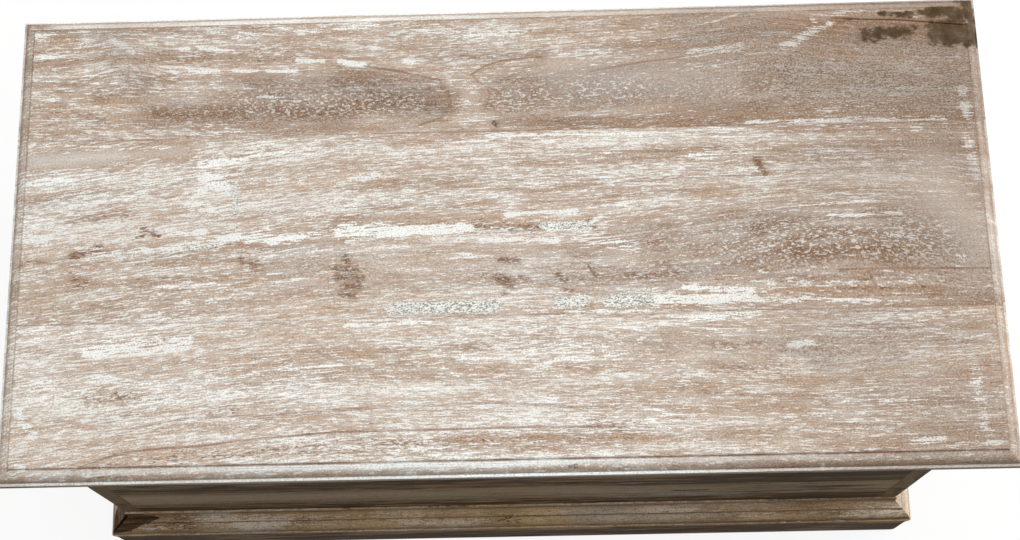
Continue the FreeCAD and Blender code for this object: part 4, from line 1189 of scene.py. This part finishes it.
plinth = {
    "thickness": 22,
    "face": 69,
    "faceArris": 0.8,
    "faceRound": [(0.2, 0.25), (0, 0.9)],  # down and in
    "ledge": 2.5,
    "quirk": 2.5,
    "roundRadius": 9.5,
    "roundAngles": (9, 20, 31, 42, 53, 64, 76, 90),
    "coveRadius": 8,
    "coveAngles": (16, 30, 45, 60, 75, 90),
    "coveRound": [(0.5, 0), (0, 0.4)],
    "lip": 8.5,
    "lipRound": [(4, 0), (0.7, 0), (0.1, 0.5)],
    "rowStep": 4.5,
    "backStep": 20,
    "stationStep": 3.6,
    "wornDepth": 0.5,
    "cornerRound": 8,
    "mitreGap": 2.4,
    "woodDepth": 0.42,
    "limePores": 0.32,
    "seed": 200,
    "seedStep": 10,
    "grain": {
        "drift": [(-500, -3), (0, 0), (500, 3)],
        "heart": [(-450, 140, 20), (0, 120, 30), (450, 150, 24)],
        "ringWidth": 6,
    },
    "noises": {
        "worn": (26, 9, 3),
        "ragged": (55, 6, 4),
        "tone": (120, 30, 5),
        "bare": (60, 20, 6),
        "grey": (100, 16, 7),
        "stain": (70, 30, 8),
    },
    "wear": {
        "rubLess": 0.75,
        "rubLessAbove": (58, 72),
        "openMitres": {"front": -1, "left": 1},
        "mitreMiddle": 85,
        "mitreHalf": 13,
        "mitreRun": (0, 12),
        "outerFrom": 1,
        "wornFrom": 2,
        "corner": (0.96, 1),
        "heartBelow": 30,
        "foot": (20, 69),
        "wedgeRun": 38,
        "wedgeEdge": (-5, 5),
        "chatter": {"middle": 130, "half": 90, "from": 72, "to": 82, "step": 4.1},
        "face": (62, 67),
        "otherFacesShade": 0.3,
        "dusk": (-50, 350),
        "dots": 0.3,
        "deep": {"foot": 0.35, "dusk": 0.3, "tone": 0.15},
        "pores": {"ragged": 0.22, "right": 0.3},
        "cover": {"right": 0.8, "others": 0.25, "ragged": 0.6, "from": 68},
        "bare": (1, 0.3, 0.7),
        "grey": (0.5, 0, 0.4),
        "stain": {"swing": 0.5, "less": 0.35, "corner": 0.3, "most": 1.2, "wedge": 1.3},
        "quirk": {"reach": 3, "strength": 0.55},
        "veilFrom": 66,
        "veil": (0.9, 0.4),
    },
    # dark places on the front: the right-hand corner, and dirt under the lip
    "frontDarkPlaces": [
        (396, 77, 410, 80, 6, 1.1), (300, 90, 400, 89, 3, 0.8), (-140, 92, -20, 92, 1.5, 1),
    ],
}


def plinthLoop(sizes):
    # height and distance out from the wall, with the quirks' places along the outline
    out, face = sizes["thickness"], sizes["face"]
    roundOut = out - sizes["ledge"]
    r, c = sizes["roundRadius"], sizes["coveRadius"]
    roundIn, roundFoot = roundOut - r, face + sizes["quirk"]
    coveFoot = roundFoot + r + sizes["quirk"]
    lipOut, top = roundIn - c, coveFoot + c + sizes["lip"]
    roundTurns, coveTurns = np.radians(sizes["roundAngles"]), np.radians(sizes["coveAngles"])
    points = [(z, out) for z in spaced(0, face - sizes["faceArris"], sizes["rowStep"])]
    points += [(face - down, out - into) for down, into in sizes["faceRound"]]
    quirks = [len(points)]
    points += [(face, roundOut), (roundFoot, roundOut)]
    points += [(roundFoot + r * math.sin(a), roundIn + r * math.cos(a)) for a in roundTurns]
    quirks.append(len(points) - 1)
    points += [(coveFoot - down, roundIn - into) for down, into in sizes["coveRound"]]
    points += [(coveFoot + c - c * math.cos(a), roundIn - c * math.sin(a)) for a in coveTurns]
    quirks.append(len(points) - 1)
    points += [(top - down, lipOut - into) for down, into in sizes["lipRound"]] + [(top, 0)]
    points += [(z, 0) for z in evenly(top, 0, sizes["backStep"])] + [(0, 0)]
    return np.array(points), quirks


def plinthBoard(side, seed):
    run, inward, extent = sideRuns[side]
    wear, isFront, isRight = plinth["wear"], side == "front", side == "right"
    loop, quirks = plinthLoop(plinth)
    half = walls[extent] / 2
    shares = spaced(-1, 1, plinth["stationStep"] / half)
    share, across, out = boardGrid(shares, loop)
    along = share * (half + out)

    # corners rubbed round, and the front left mitre opened
    rub = plinth["cornerRound"] * (1 - wear["rubLess"] * smoothStep(across, *wear["rubLessAbove"]))
    overRun = np.maximum(np.abs(along) - (half + plinth["thickness"] - rub), 0)
    overOut = np.maximum(out - (plinth["thickness"] - rub), 0)
    pull = np.minimum(1, rub / np.maximum(np.hypot(overRun, overOut), tiny)) - 1
    along, out = along + np.sign(along) * overRun * pull, out + overOut * pull
    opened = wear["openMitres"].get(side, 0)
    hole = np.clip(1 - np.abs(across - wear["mitreMiddle"]) / wear["mitreHalf"], 0, 1)
    fromMitre = half + out - along * opened
    outer = out > wear["outerFrom"]
    gape = plinth["mitreGap"] * hole * (1 - smoothStep(fromMitre, *wear["mitreRun"])) * outer
    along = along - opened * gape

    def noise(key):
        return boardNoise(along, across, plinth["noises"][key], seed)

    corner = smoothStep(np.abs(share), *wear["corner"])
    worn = np.clip(noise("worn"), 0, 1) * outer * (across > wear["wornFrom"]) * (1 - corner)
    depth = -out + plinth["wornDepth"] * worn
    place, rings, dotZone = grainFields(along, across, depth + wear["heartBelow"], plinth["grain"], seed)
    chatter = wear["chatter"]
    struck = isFront & (np.abs(along - chatter["middle"]) < chatter["half"])
    struck = struck & (across > chatter["from"]) & (across < chatter["to"])
    rings = np.where(struck, along / chatter["step"], rings)

    # how far each point of the outline is from the nearest quirk
    walked = np.concatenate([[0], np.cumsum(np.hypot(*np.diff(loop, axis=0).T))])
    gaps = walked[None, :] - walked[quirks][:, None]
    nearest = gaps[np.argmin(np.abs(gaps), axis=0), np.arange(len(loop))]
    ragged = noise("ragged")
    foot = 1 - smoothStep(across, *wear["foot"])
    inWedge = 1 - smoothStep(fromMitre - wear["wedgeRun"] * hole, *wear["wedgeEdge"])
    wedge = abs(opened) * inWedge * (hole > 0)
    # the plain face darkened as painted shade, in full on the front and less on the other sides
    face = (1 - smoothStep(across, *wear["face"])) * (1 if isFront else wear["otherFacesShade"])
    spots = strokeMask(along, across, plinth["frontDarkPlaces"]) if isFront else 0
    # the front darkens towards the right: partly painted shade, partly browner wood
    dusk = smoothStep(along, *wear["dusk"]) if isFront else 0
    deep, pores, cover, stain, quirk = (wear[key] for key in ("deep", "pores", "cover", "stain", "quirk"))
    # the right-hand plinth is whiter: partly more lime, partly painted light where it faces the light from
    # the right
    covered = cover["right" if isRight else "others"] + cover["ragged"] * ragged
    stainedAndShaded = stain["swing"] * noise("stain") - stain["less"] + face + stain["corner"] * corner + spots
    wood = deep["foot"] * foot + deep["dusk"] * dusk + deep["tone"] * noise("tone")
    marks = {
        "ringPhase": rings,
        "dotZone": wear["dots"] * dotZone,
        "woodDepth": plinth["woodDepth"] + wood,
        "limePores": plinth["limePores"] + pores["ragged"] * ragged + pores["right"] * isRight,
        "limeCover": np.clip(covered, 0, 1) * (across > cover["from"]),
        "bareWood": patches(noise("bare"), *wear["bare"]),
        "greyTicks": patches(noise("grey"), *wear["grey"]),
        "greyHaze": 0,
        "stainAndShade": np.maximum(np.clip(stainedAndShaded, 0, stain["most"]), stain["wedge"] * wedge),
        "lineSide": np.clip(nearest, -lineReach[1], lineReach[1]),
        "lineStrength": np.where(np.abs(nearest) < quirk["reach"], quirk["strength"], 0),
        "limeVeilAndHighlight": isRight * (across > wear["veilFrom"]) * swung(wear["veil"], ragged),
    }
    name = f"{side}PlinthBoard"
    axes = sideOrigin(inward, 0), run, (0, 0, 1), inward
    mesh = loftBoard(name, along, across, depth, axes)
    writeMarks(mesh, place, marks)
    addPiece(name, mesh, limedWoods["plinth_wood"], "carcass", "plinth_wood", f"{side}_plinth_board")


for sideIndex, side in enumerate(sideRuns):
    plinthBoard(side, plinth["seed"] + plinth["seedStep"] * sideIndex)
print("plinth mitred")


# Bottom boards, cleats and battens keep their own shapes in planed, unlimed wood

planedTones = {
    "light": (178, 142, 108),
    "dark": (126, 92, 64),
    "pore": (84, 60, 42),
    "dust": (190, 176, 158),
    # noises: scale along, across and into the wood, detail, and roughness where it isn't a half
    "sweepNoise": ((3, 30, 30), 3),
    "bandNoise": ((5, 150, 150), 3, 0.6),
    "poreNoise": ((60, 900, 900), 2),
    "dustNoise": ((9, 22, 22), 4, 0.6),
    "toneShare": 0.9,
    "toneStart": -0.42,
    "toneRange": (0.15, 0.85),
    "poreRange": (0.55, 0.68),
    "poreAmount": 0.6,
    "dustRange": (0.5, 0.72),
    "dustAmount": 0.3,
    "roughness": 0.62,
    "gloss": 0.3,
    "poreRelief": -0.6,
    "bandRelief": 0.3,
    "relief": (0.35, 0.0006),
}


def planedWood(name, tones, turn):
    material, tree, shader = newMaterial(name)
    light, dark, poreTone, dust = (screenColour(*tones[key]) for key in ("light", "dark", "pore", "dust"))
    mapped = tree.nodes.new("ShaderNodeMapping")
    mapped.inputs["Rotation"].default_value = (0, 0, math.radians(turn))
    tree.links.new(tree.nodes.new("ShaderNodeTexCoord").outputs["Object"], mapped.inputs["Vector"])
    place = mapped.outputs["Vector"]
    sweep, band, pore, settled = (
        stretched(tree, place, *tones[key + "Noise"]) for key in ("sweep", "band", "pore", "dust"))
    tone = weighted(tree, (sweep, tones["toneShare"]), (band, tones["toneShare"]), start=tones["toneStart"])
    colour = tint(tree, fade(tree, tone, *tones["toneRange"]), light, dark)
    pored = calc(tree, "MULTIPLY", fade(tree, pore, *tones["poreRange"]), tones["poreAmount"])
    colour = tint(tree, pored, colour, poreTone)
    dusted = calc(tree, "MULTIPLY", fade(tree, settled, *tones["dustRange"]), tones["dustAmount"])
    colour = tint(tree, dusted, colour, dust)
    feed(tree, shader.inputs["Base Color"], colour)
    shader.inputs["Roughness"].default_value = tones["roughness"]
    shader.inputs["Specular IOR Level"].default_value = tones["gloss"]
    height = weighted(tree, (pore, tones["poreRelief"]), (band, tones["bandRelief"]))
    relief(tree, shader, height, *tones["relief"])
    return material


def dress(material, *nodes):
    for node in nodes:
        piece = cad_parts[node]
        if not piece.material_slots:
            piece.data.materials.append(material)
        for slot in piece.material_slots:
            slot.material = material


lengthwise = planedWood("planedWoodLengthwise", planedTones, 0)
crosswise = planedWood("planedWoodCrosswise", planedTones, 90)
bottomBoards = [f"bottom_board_{number}" for number in range(1, 5)]
battens = [f"lid_{where}_batten" for where in ("left", "middle", "right")]
dress(lengthwise, "front_bottom_cleat", "back_bottom_cleat", *bottomBoards)
dress(crosswise, "left_bottom_cleat", "right_bottom_cleat", *battens)
print("planed wood dressed")


# Hinges in dulled brass, fasteners in dulled steel

metalTones = {
    "hingeBrass": {
        "clean": (158, 128, 78),
        "dull": (116, 92, 56),
        "spot": (78, 70, 48),
        "roughness": (0.36, 0.58),
    },
    "screwSteel": {
        "clean": (168, 164, 156),
        "dull": (104, 98, 90),
        "spot": (92, 62, 42),
        "roughness": (0.32, 0.62),
    },
}
metalWear = {
    "tarnishNoise": ((140, 140, 140), 5, 0.7),
    "tarnishRange": (0.25, 0.75),
    "spotNoise": ((420, 420, 420), 2),
    "spotRange": (0.6, 0.7),
    "spotAmount": 0.7,
    "scratchNoise": ((120, 2400, 2400), 1),
    "heights": (0.4, 0.4, -0.5),  # of scratches, tarnish and spots
    "relief": (0.2, 0.0002),
}


def dulledMetal(name, tones):
    material, tree, shader = newMaterial(name)
    clean, dull, spot = (screenColour(*tones[key]) for key in ("clean", "dull", "spot"))
    place = tree.nodes.new("ShaderNodeTexCoord").outputs["Object"]
    tarnish = fade(tree, stretched(tree, place, *metalWear["tarnishNoise"]), *metalWear["tarnishRange"])
    spots = fade(tree, stretched(tree, place, *metalWear["spotNoise"]), *metalWear["spotRange"])
    scratch = stretched(tree, place, *metalWear["scratchNoise"])
    colour = tint(tree, tarnish, clean, dull)
    colour = tint(tree, calc(tree, "MULTIPLY", spots, metalWear["spotAmount"]), colour, spot)
    feed(tree, shader.inputs["Base Color"], colour)
    shader.inputs["Metallic"].default_value = 1
    feed(tree, shader.inputs["Roughness"], between(tree, tarnish, *tones["roughness"]))
    height = weighted(tree, *zip((scratch, tarnish, spots), metalWear["heights"]))
    relief(tree, shader, height, *metalWear["relief"])
    return material


metals = {key: dulledMetal(key, tones) for key, tones in metalTones.items()}
for hand in ("left", "right"):
    dress(metals["hingeBrass"], *[f"{hand}_hinge_{piece}" for piece in ("wall_leaf", "lid_leaf", "pin")])


# Screws and nails, set out in rows by one node tree

fastenerSizes = ("Head Radius", "Neck Radius", "Head Depth", "Shank Radius", "Length", "Tip Length",
                 "Slot Width", "Slot Depth")
fasteners = {
    # millimetres, in the order of the names above
    "kinds": {
        "woodScrew": (4, 2, 2, 2, 32, 5, 1.1, 1.1),
        "hingeScrew": (3.2, 1.6, 1.6, 1.6, 14, 5, 1.1, 1),
        "nail": (2.6, 2.6, 1.2, 1.3, 32, 5, 0.2, 0.1),
    },
    "facets": 24,
    "tipRadius": 0.0002,  # metres
    "slotRun": 2.4,
    "smoothAngle": 35,
    "sideCounts": {"length": 4, "depth": 2},
    "sideInset": 57,
    "plinthHeight": 21,
    "cleatHeight": 46,
    "cleatIn": 40,
    "battenXs": (-300, 0, 300),
    "battenYs": (-135, -45, 45, 135),
    "battenFoot": 440,
    "hingeXs": (-280, 280),
    "hingeSteps": (-26, 0, 26),
    "hingeWall": (193.5, 440.85),  # y and height
    "hingeLid": (208.65, 456),
    "nailXs": (-390, 390),
    "nailReach": 151.1125,
    "nailCount": 8,
    "nailHeight": 74,
}


def fastenerTree():
    tree = bpy.data.node_groups.new("fastenerRows", "GeometryNodeTree")
    sizeInputs = [(key, "Float") for key in fastenerSizes]
    for key, kind in [("Geometry", "Geometry"), *sizeInputs, ("Seed", "Int"), ("Material", "Material")]:
        tree.interface.new_socket(key, in_out="INPUT", socket_type="NodeSocket" + kind)
    tree.interface.new_socket("Geometry", in_out="OUTPUT", socket_type="NodeSocketGeometry")
    given = tree.nodes.new("NodeGroupInput").outputs
    link = tree.links.new

    def put(kind, **sockets):
        node = tree.nodes.new(kind)
        for key, value in sockets.items():
            feed(tree, node.inputs[key.replace("_", " ")], value)
        return node

    def cone(low, high, depth):
        facets = fasteners["facets"]
        node = put("GeometryNodeMeshCone", Vertices=facets, Radius_Bottom=low, Radius_Top=high, Depth=depth)
        return node.outputs["Mesh"]

    def lifted(mesh, low, high):
        place = tree.nodes.new("ShaderNodeCombineXYZ")
        feed(tree, place.inputs["Z"], calc(tree, "ADD", low, high))
        return put("GeometryNodeTransform", Geometry=mesh, Translation=place.outputs[0]).outputs[0]

    shankLength = calc(tree, "SUBTRACT", given["Length"], given["Tip Length"])
    shankLength = calc(tree, "SUBTRACT", shankLength, given["Head Depth"])
    head = cone(given["Head Radius"], given["Neck Radius"], given["Head Depth"])
    shank = cone(given["Shank Radius"], given["Shank Radius"], shankLength)
    tip = cone(given["Shank Radius"], fasteners["tipRadius"], given["Tip Length"])
    slotSize = tree.nodes.new("ShaderNodeCombineXYZ")
    feed(tree, slotSize.inputs["X"], calc(tree, "MULTIPLY", given["Head Radius"], fasteners["slotRun"]))
    feed(tree, slotSize.inputs["Y"], given["Slot Width"])
    feed(tree, slotSize.inputs["Z"], calc(tree, "MULTIPLY", given["Slot Depth"], 2))
    slot = put("GeometryNodeMeshCube", Size=slotSize.outputs[0])
    slotted = tree.nodes.new("GeometryNodeMeshBoolean")
    slotted.operation = "DIFFERENCE"
    link(head, slotted.inputs["Mesh 1"])
    link(slot.outputs["Mesh"], slotted.inputs["Mesh 2"])
    joined = tree.nodes.new("GeometryNodeJoinGeometry")
    link(slotted.outputs["Mesh"], joined.inputs[0])
    link(lifted(shank, given["Head Depth"], 0.0), joined.inputs[0])
    link(lifted(tip, given["Head Depth"], shankLength), joined.inputs[0])

    drive = tree.nodes.new("GeometryNodeInputNamedAttribute")
    drive.data_type = "FLOAT_VECTOR"
    drive.inputs["Name"].default_value = "drive"
    turned = tree.nodes.new("FunctionNodeAlignRotationToVector")
    turned.axis = "Z"
    link(drive.outputs[0], turned.inputs["Vector"])
    twist = put("FunctionNodeRandomValue", Seed=given["Seed"])
    twist.inputs[3].default_value = 2 * math.pi
    spun = put("FunctionNodeAxisAngleToRotation", Angle=twist.outputs[1])
    spun.inputs["Axis"].default_value = (0, 0, 1)
    both = tree.nodes.new("FunctionNodeRotateRotation")
    both.rotation_space = "LOCAL"
    link(turned.outputs[0], both.inputs["Rotation"])
    link(spun.outputs[0], both.inputs["Rotate By"])
    rows = put("GeometryNodeInstanceOnPoints", Points=given["Geometry"], Instance=joined.outputs[0],
               Rotation=both.outputs[0])
    real = put("GeometryNodeRealizeInstances", Geometry=rows.outputs[0])
    finished = put("GeometryNodeSetMaterial", Geometry=real.outputs[0], Material=given["Material"])
    link(finished.outputs[0], tree.nodes.new("NodeGroupOutput").inputs[0])
    return tree


def onSides(height, inward):
    # screws driven outward on all four sides
    spots = []
    for run, into, extent in sideRuns.values():
        half = walls[extent] / 2 - walls["thickness"] - fasteners["sideInset"]
        reach = (walls["depth"] if extent == "length" else walls["length"]) / 2 - inward
        for along in np.linspace(-half, half, fasteners["sideCounts"][extent]):
            spot = run[0] * along - into[0] * reach, run[1] * along - into[1] * reach, height
            spots.append((spot, (-into[0], -into[1], 0)))
    return spots


def inRows(xs, ys, height, drive):
    return [((x, y, height), drive) for x in xs for y in ys]


hingeXs = [middle + step for middle in fasteners["hingeXs"] for step in fasteners["hingeSteps"]]
hingeWallY, hingeWallZ = fasteners["hingeWall"]
hingeLidY, hingeLidZ = fasteners["hingeLid"]
plinthSpots = onSides(fasteners["plinthHeight"], walls["thickness"])
cleatSpots = onSides(fasteners["cleatHeight"], fasteners["cleatIn"])
battenSpots = fasteners["battenXs"], fasteners["battenYs"], fasteners["battenFoot"]
nailYs = np.linspace(-fasteners["nailReach"], fasteners["nailReach"], fasteners["nailCount"])
nailSpots = fasteners["nailXs"], nailYs, fasteners["nailHeight"]

# each row: kind, body, and places with the way they are driven
fastenerRows = {
    "plinth_screws": ("woodScrew", "carcass", plinthSpots),
    "cleat_screws": ("woodScrew", "carcass", cleatSpots),
    "batten_screws": ("woodScrew", "lid", inRows(*battenSpots, (0, 0, 1))),
    "hinge_wall_screws": ("hingeScrew", "carcass", inRows(hingeXs, [hingeWallY], hingeWallZ, (0, -1, 0))),
    "hinge_lid_screws": ("hingeScrew", "lid", inRows(hingeXs, [hingeLidY], hingeLidZ, (0, 0, 1))),
    "bottom_nails": ("nail", "carcass", inRows(*nailSpots, (0, 0, -1))),
}
rowTree = fastenerTree()
socketOf = {item.name: item.identifier for item in rowTree.interface.items_tree if item.in_out == "INPUT"}


def driveRow(node, kind, body, spots, seed):
    points = bpy.data.meshes.new(node + "Points")
    points.from_pydata([[part * mm for part in spot] for spot, drive in spots], [], [])
    attribute = points.attributes.new("drive", "FLOAT_VECTOR", "POINT")
    attribute.data.foreach_set("vector", np.array([drive for spot, drive in spots], np.float32).reshape(-1))
    holder = bpy.data.objects.new(node + "Holder", points)
    bpy.context.scene.collection.objects.link(holder)
    modifier = holder.modifiers.new("rows", "NODES")
    modifier.node_group = rowTree
    for key, value in zip(fastenerSizes, fasteners["kinds"][kind]):
        modifier[socketOf[key]] = value * mm
    modifier[socketOf["Seed"]] = seed
    modifier[socketOf["Material"]] = metals["screwSteel"]
    bpy.context.view_layer.update()
    mesh = bpy.data.meshes.new_from_object(holder.evaluated_get(bpy.context.evaluated_depsgraph_get()))
    bpy.data.objects.remove(holder)
    mesh.shade_smooth()
    mesh.set_sharp_from_angle(angle=math.radians(fasteners["smoothAngle"]))
    mesh.materials.clear()
    first, *rest = node.split("_")
    name = first + "".join(word.capitalize() for word in rest)
    addPiece(name, mesh, metals["screwSteel"], body, "steel", node)


for seed, (node, row) in enumerate(fastenerRows.items()):
    driveRow(node, *row, seed)
print("fasteners driven")


# Studio: pale floor, soft light from above, both sides and behind, and the camera

studio = {
    "floorSize": 60,
    "floorSeen": (250, 250, 249),
    "floorBounce": (110, 108, 104),
    "floorGlow": 0.86,
    "worldFill": 0.12,
    "worldSeen": 0.875,
    "lamps": {
        "overheadSoft": {
            "place": (0.15, -0.16, 2.9), "aim": (0.0, 0.0, 0.4),
            "size": 2.2, "power": 59, "colour": (1.0, 1.0, 1.0),
        },
        "rightSoft": {
            "place": (2.6, 0.2, 1.0), "aim": (0.4, 0.0, 0.25),
            "size": 1.2, "power": 56, "colour": (1.0, 1.0, 0.99),
        },
        "backSoft": {
            "place": (-0.9, 2.5, 1.3), "aim": (0.0, 0.2, 0.25),
            "size": 1.6, "power": 22, "colour": (1.0, 1.0, 0.99),
        },
        "leftSoft": {
            "place": (-2.5, 0.4, 1.2), "aim": (-0.4, 0.1, 0.25),
            "size": 1.4, "power": 10, "colour": (1.0, 1.0, 0.99),
        },
    },
    "camera": {
        "place": (0.01024, -0.46859, 1.93653),
        "turn": (0.284326, 0.026269, -0.015931),
        "lens": 59.635,
        "shift": (0.031277, 0.005429),
        "sensorWidth": 36,
    },
}


def seenRay(tree):
    path = tree.nodes.new("ShaderNodeLightPath").outputs
    seen = calc(tree, "MAXIMUM", path["Is Camera Ray"], path["Is Glossy Ray"])
    return calc(tree, "MAXIMUM", seen, path["Is Transmission Ray"])


def paleFloor():
    material = bpy.data.materials.new("paleFloor")
    material.use_nodes = True
    tree = material.node_tree
    tree.nodes.clear()
    seen = seenRay(tree)
    card = tree.nodes.new("ShaderNodeBsdfDiffuse")
    bounce, shown = screenColour(*studio["floorBounce"]), screenColour(*studio["floorSeen"])
    feed(tree, card.inputs["Color"], tint(tree, seen, bounce, shown))
    glow = tree.nodes.new("ShaderNodeEmission")
    mixed = tree.nodes.new("ShaderNodeMixShader")
    feed(tree, mixed.inputs[0], calc(tree, "MULTIPLY", seen, studio["floorGlow"]))
    tree.links.new(card.outputs[0], mixed.inputs[1])
    tree.links.new(glow.outputs[0], mixed.inputs[2])
    tree.links.new(mixed.outputs[0], tree.nodes.new("ShaderNodeOutputMaterial").inputs["Surface"])
    half = studio["floorSize"] / 2
    corners = [(-half, -half, -mm), (half, -half, -mm), (half, half, -mm), (-half, half, -mm)]
    mesh = bpy.data.meshes.new("floor")
    mesh.from_pydata(corners, [], [(0, 1, 2, 3)])
    mesh.materials.append(material)
    floor = bpy.data.objects.new("floor", mesh)
    bpy.context.scene.collection.objects.link(floor)


def lightRoom():
    world = bpy.data.worlds.new("studioWorld")
    bpy.context.scene.world = world
    world.use_nodes = True
    tree = world.node_tree
    ground = tree.nodes["Background"]
    strength = between(tree, seenRay(tree), studio["worldFill"], studio["worldSeen"])
    feed(tree, ground.inputs["Strength"], strength)
    ground.inputs["Color"].default_value = (1, 1, 1, 1)
    for name, lamp in studio["lamps"].items():
        light = bpy.data.lights.new(name, "AREA")
        light.shape = "SQUARE"
        light.size = lamp["size"]
        light.energy = lamp["power"]
        light.color = lamp["colour"]
        holder = bpy.data.objects.new(name, light)
        holder.location = lamp["place"]
        towards = Vector(lamp["aim"]) - Vector(lamp["place"])
        holder.rotation_euler = towards.to_track_quat("-Z", "Y").to_euler()
        bpy.context.scene.collection.objects.link(holder)


def standCamera():
    stand = studio["camera"]
    camera = bpy.data.cameras.new("camera")
    camera.sensor_width = stand["sensorWidth"]
    camera.lens = stand["lens"]
    camera.shift_x, camera.shift_y = stand["shift"]
    holder = bpy.data.objects.new("camera", camera)
    holder.location = stand["place"]
    holder.rotation_euler = stand["turn"]
    bpy.context.scene.collection.objects.link(holder)
    bpy.context.scene.camera = holder


paleFloor()
lightRoom()
standCamera()
bpy.context.scene.view_settings.view_transform = "Standard"
print("studio set")
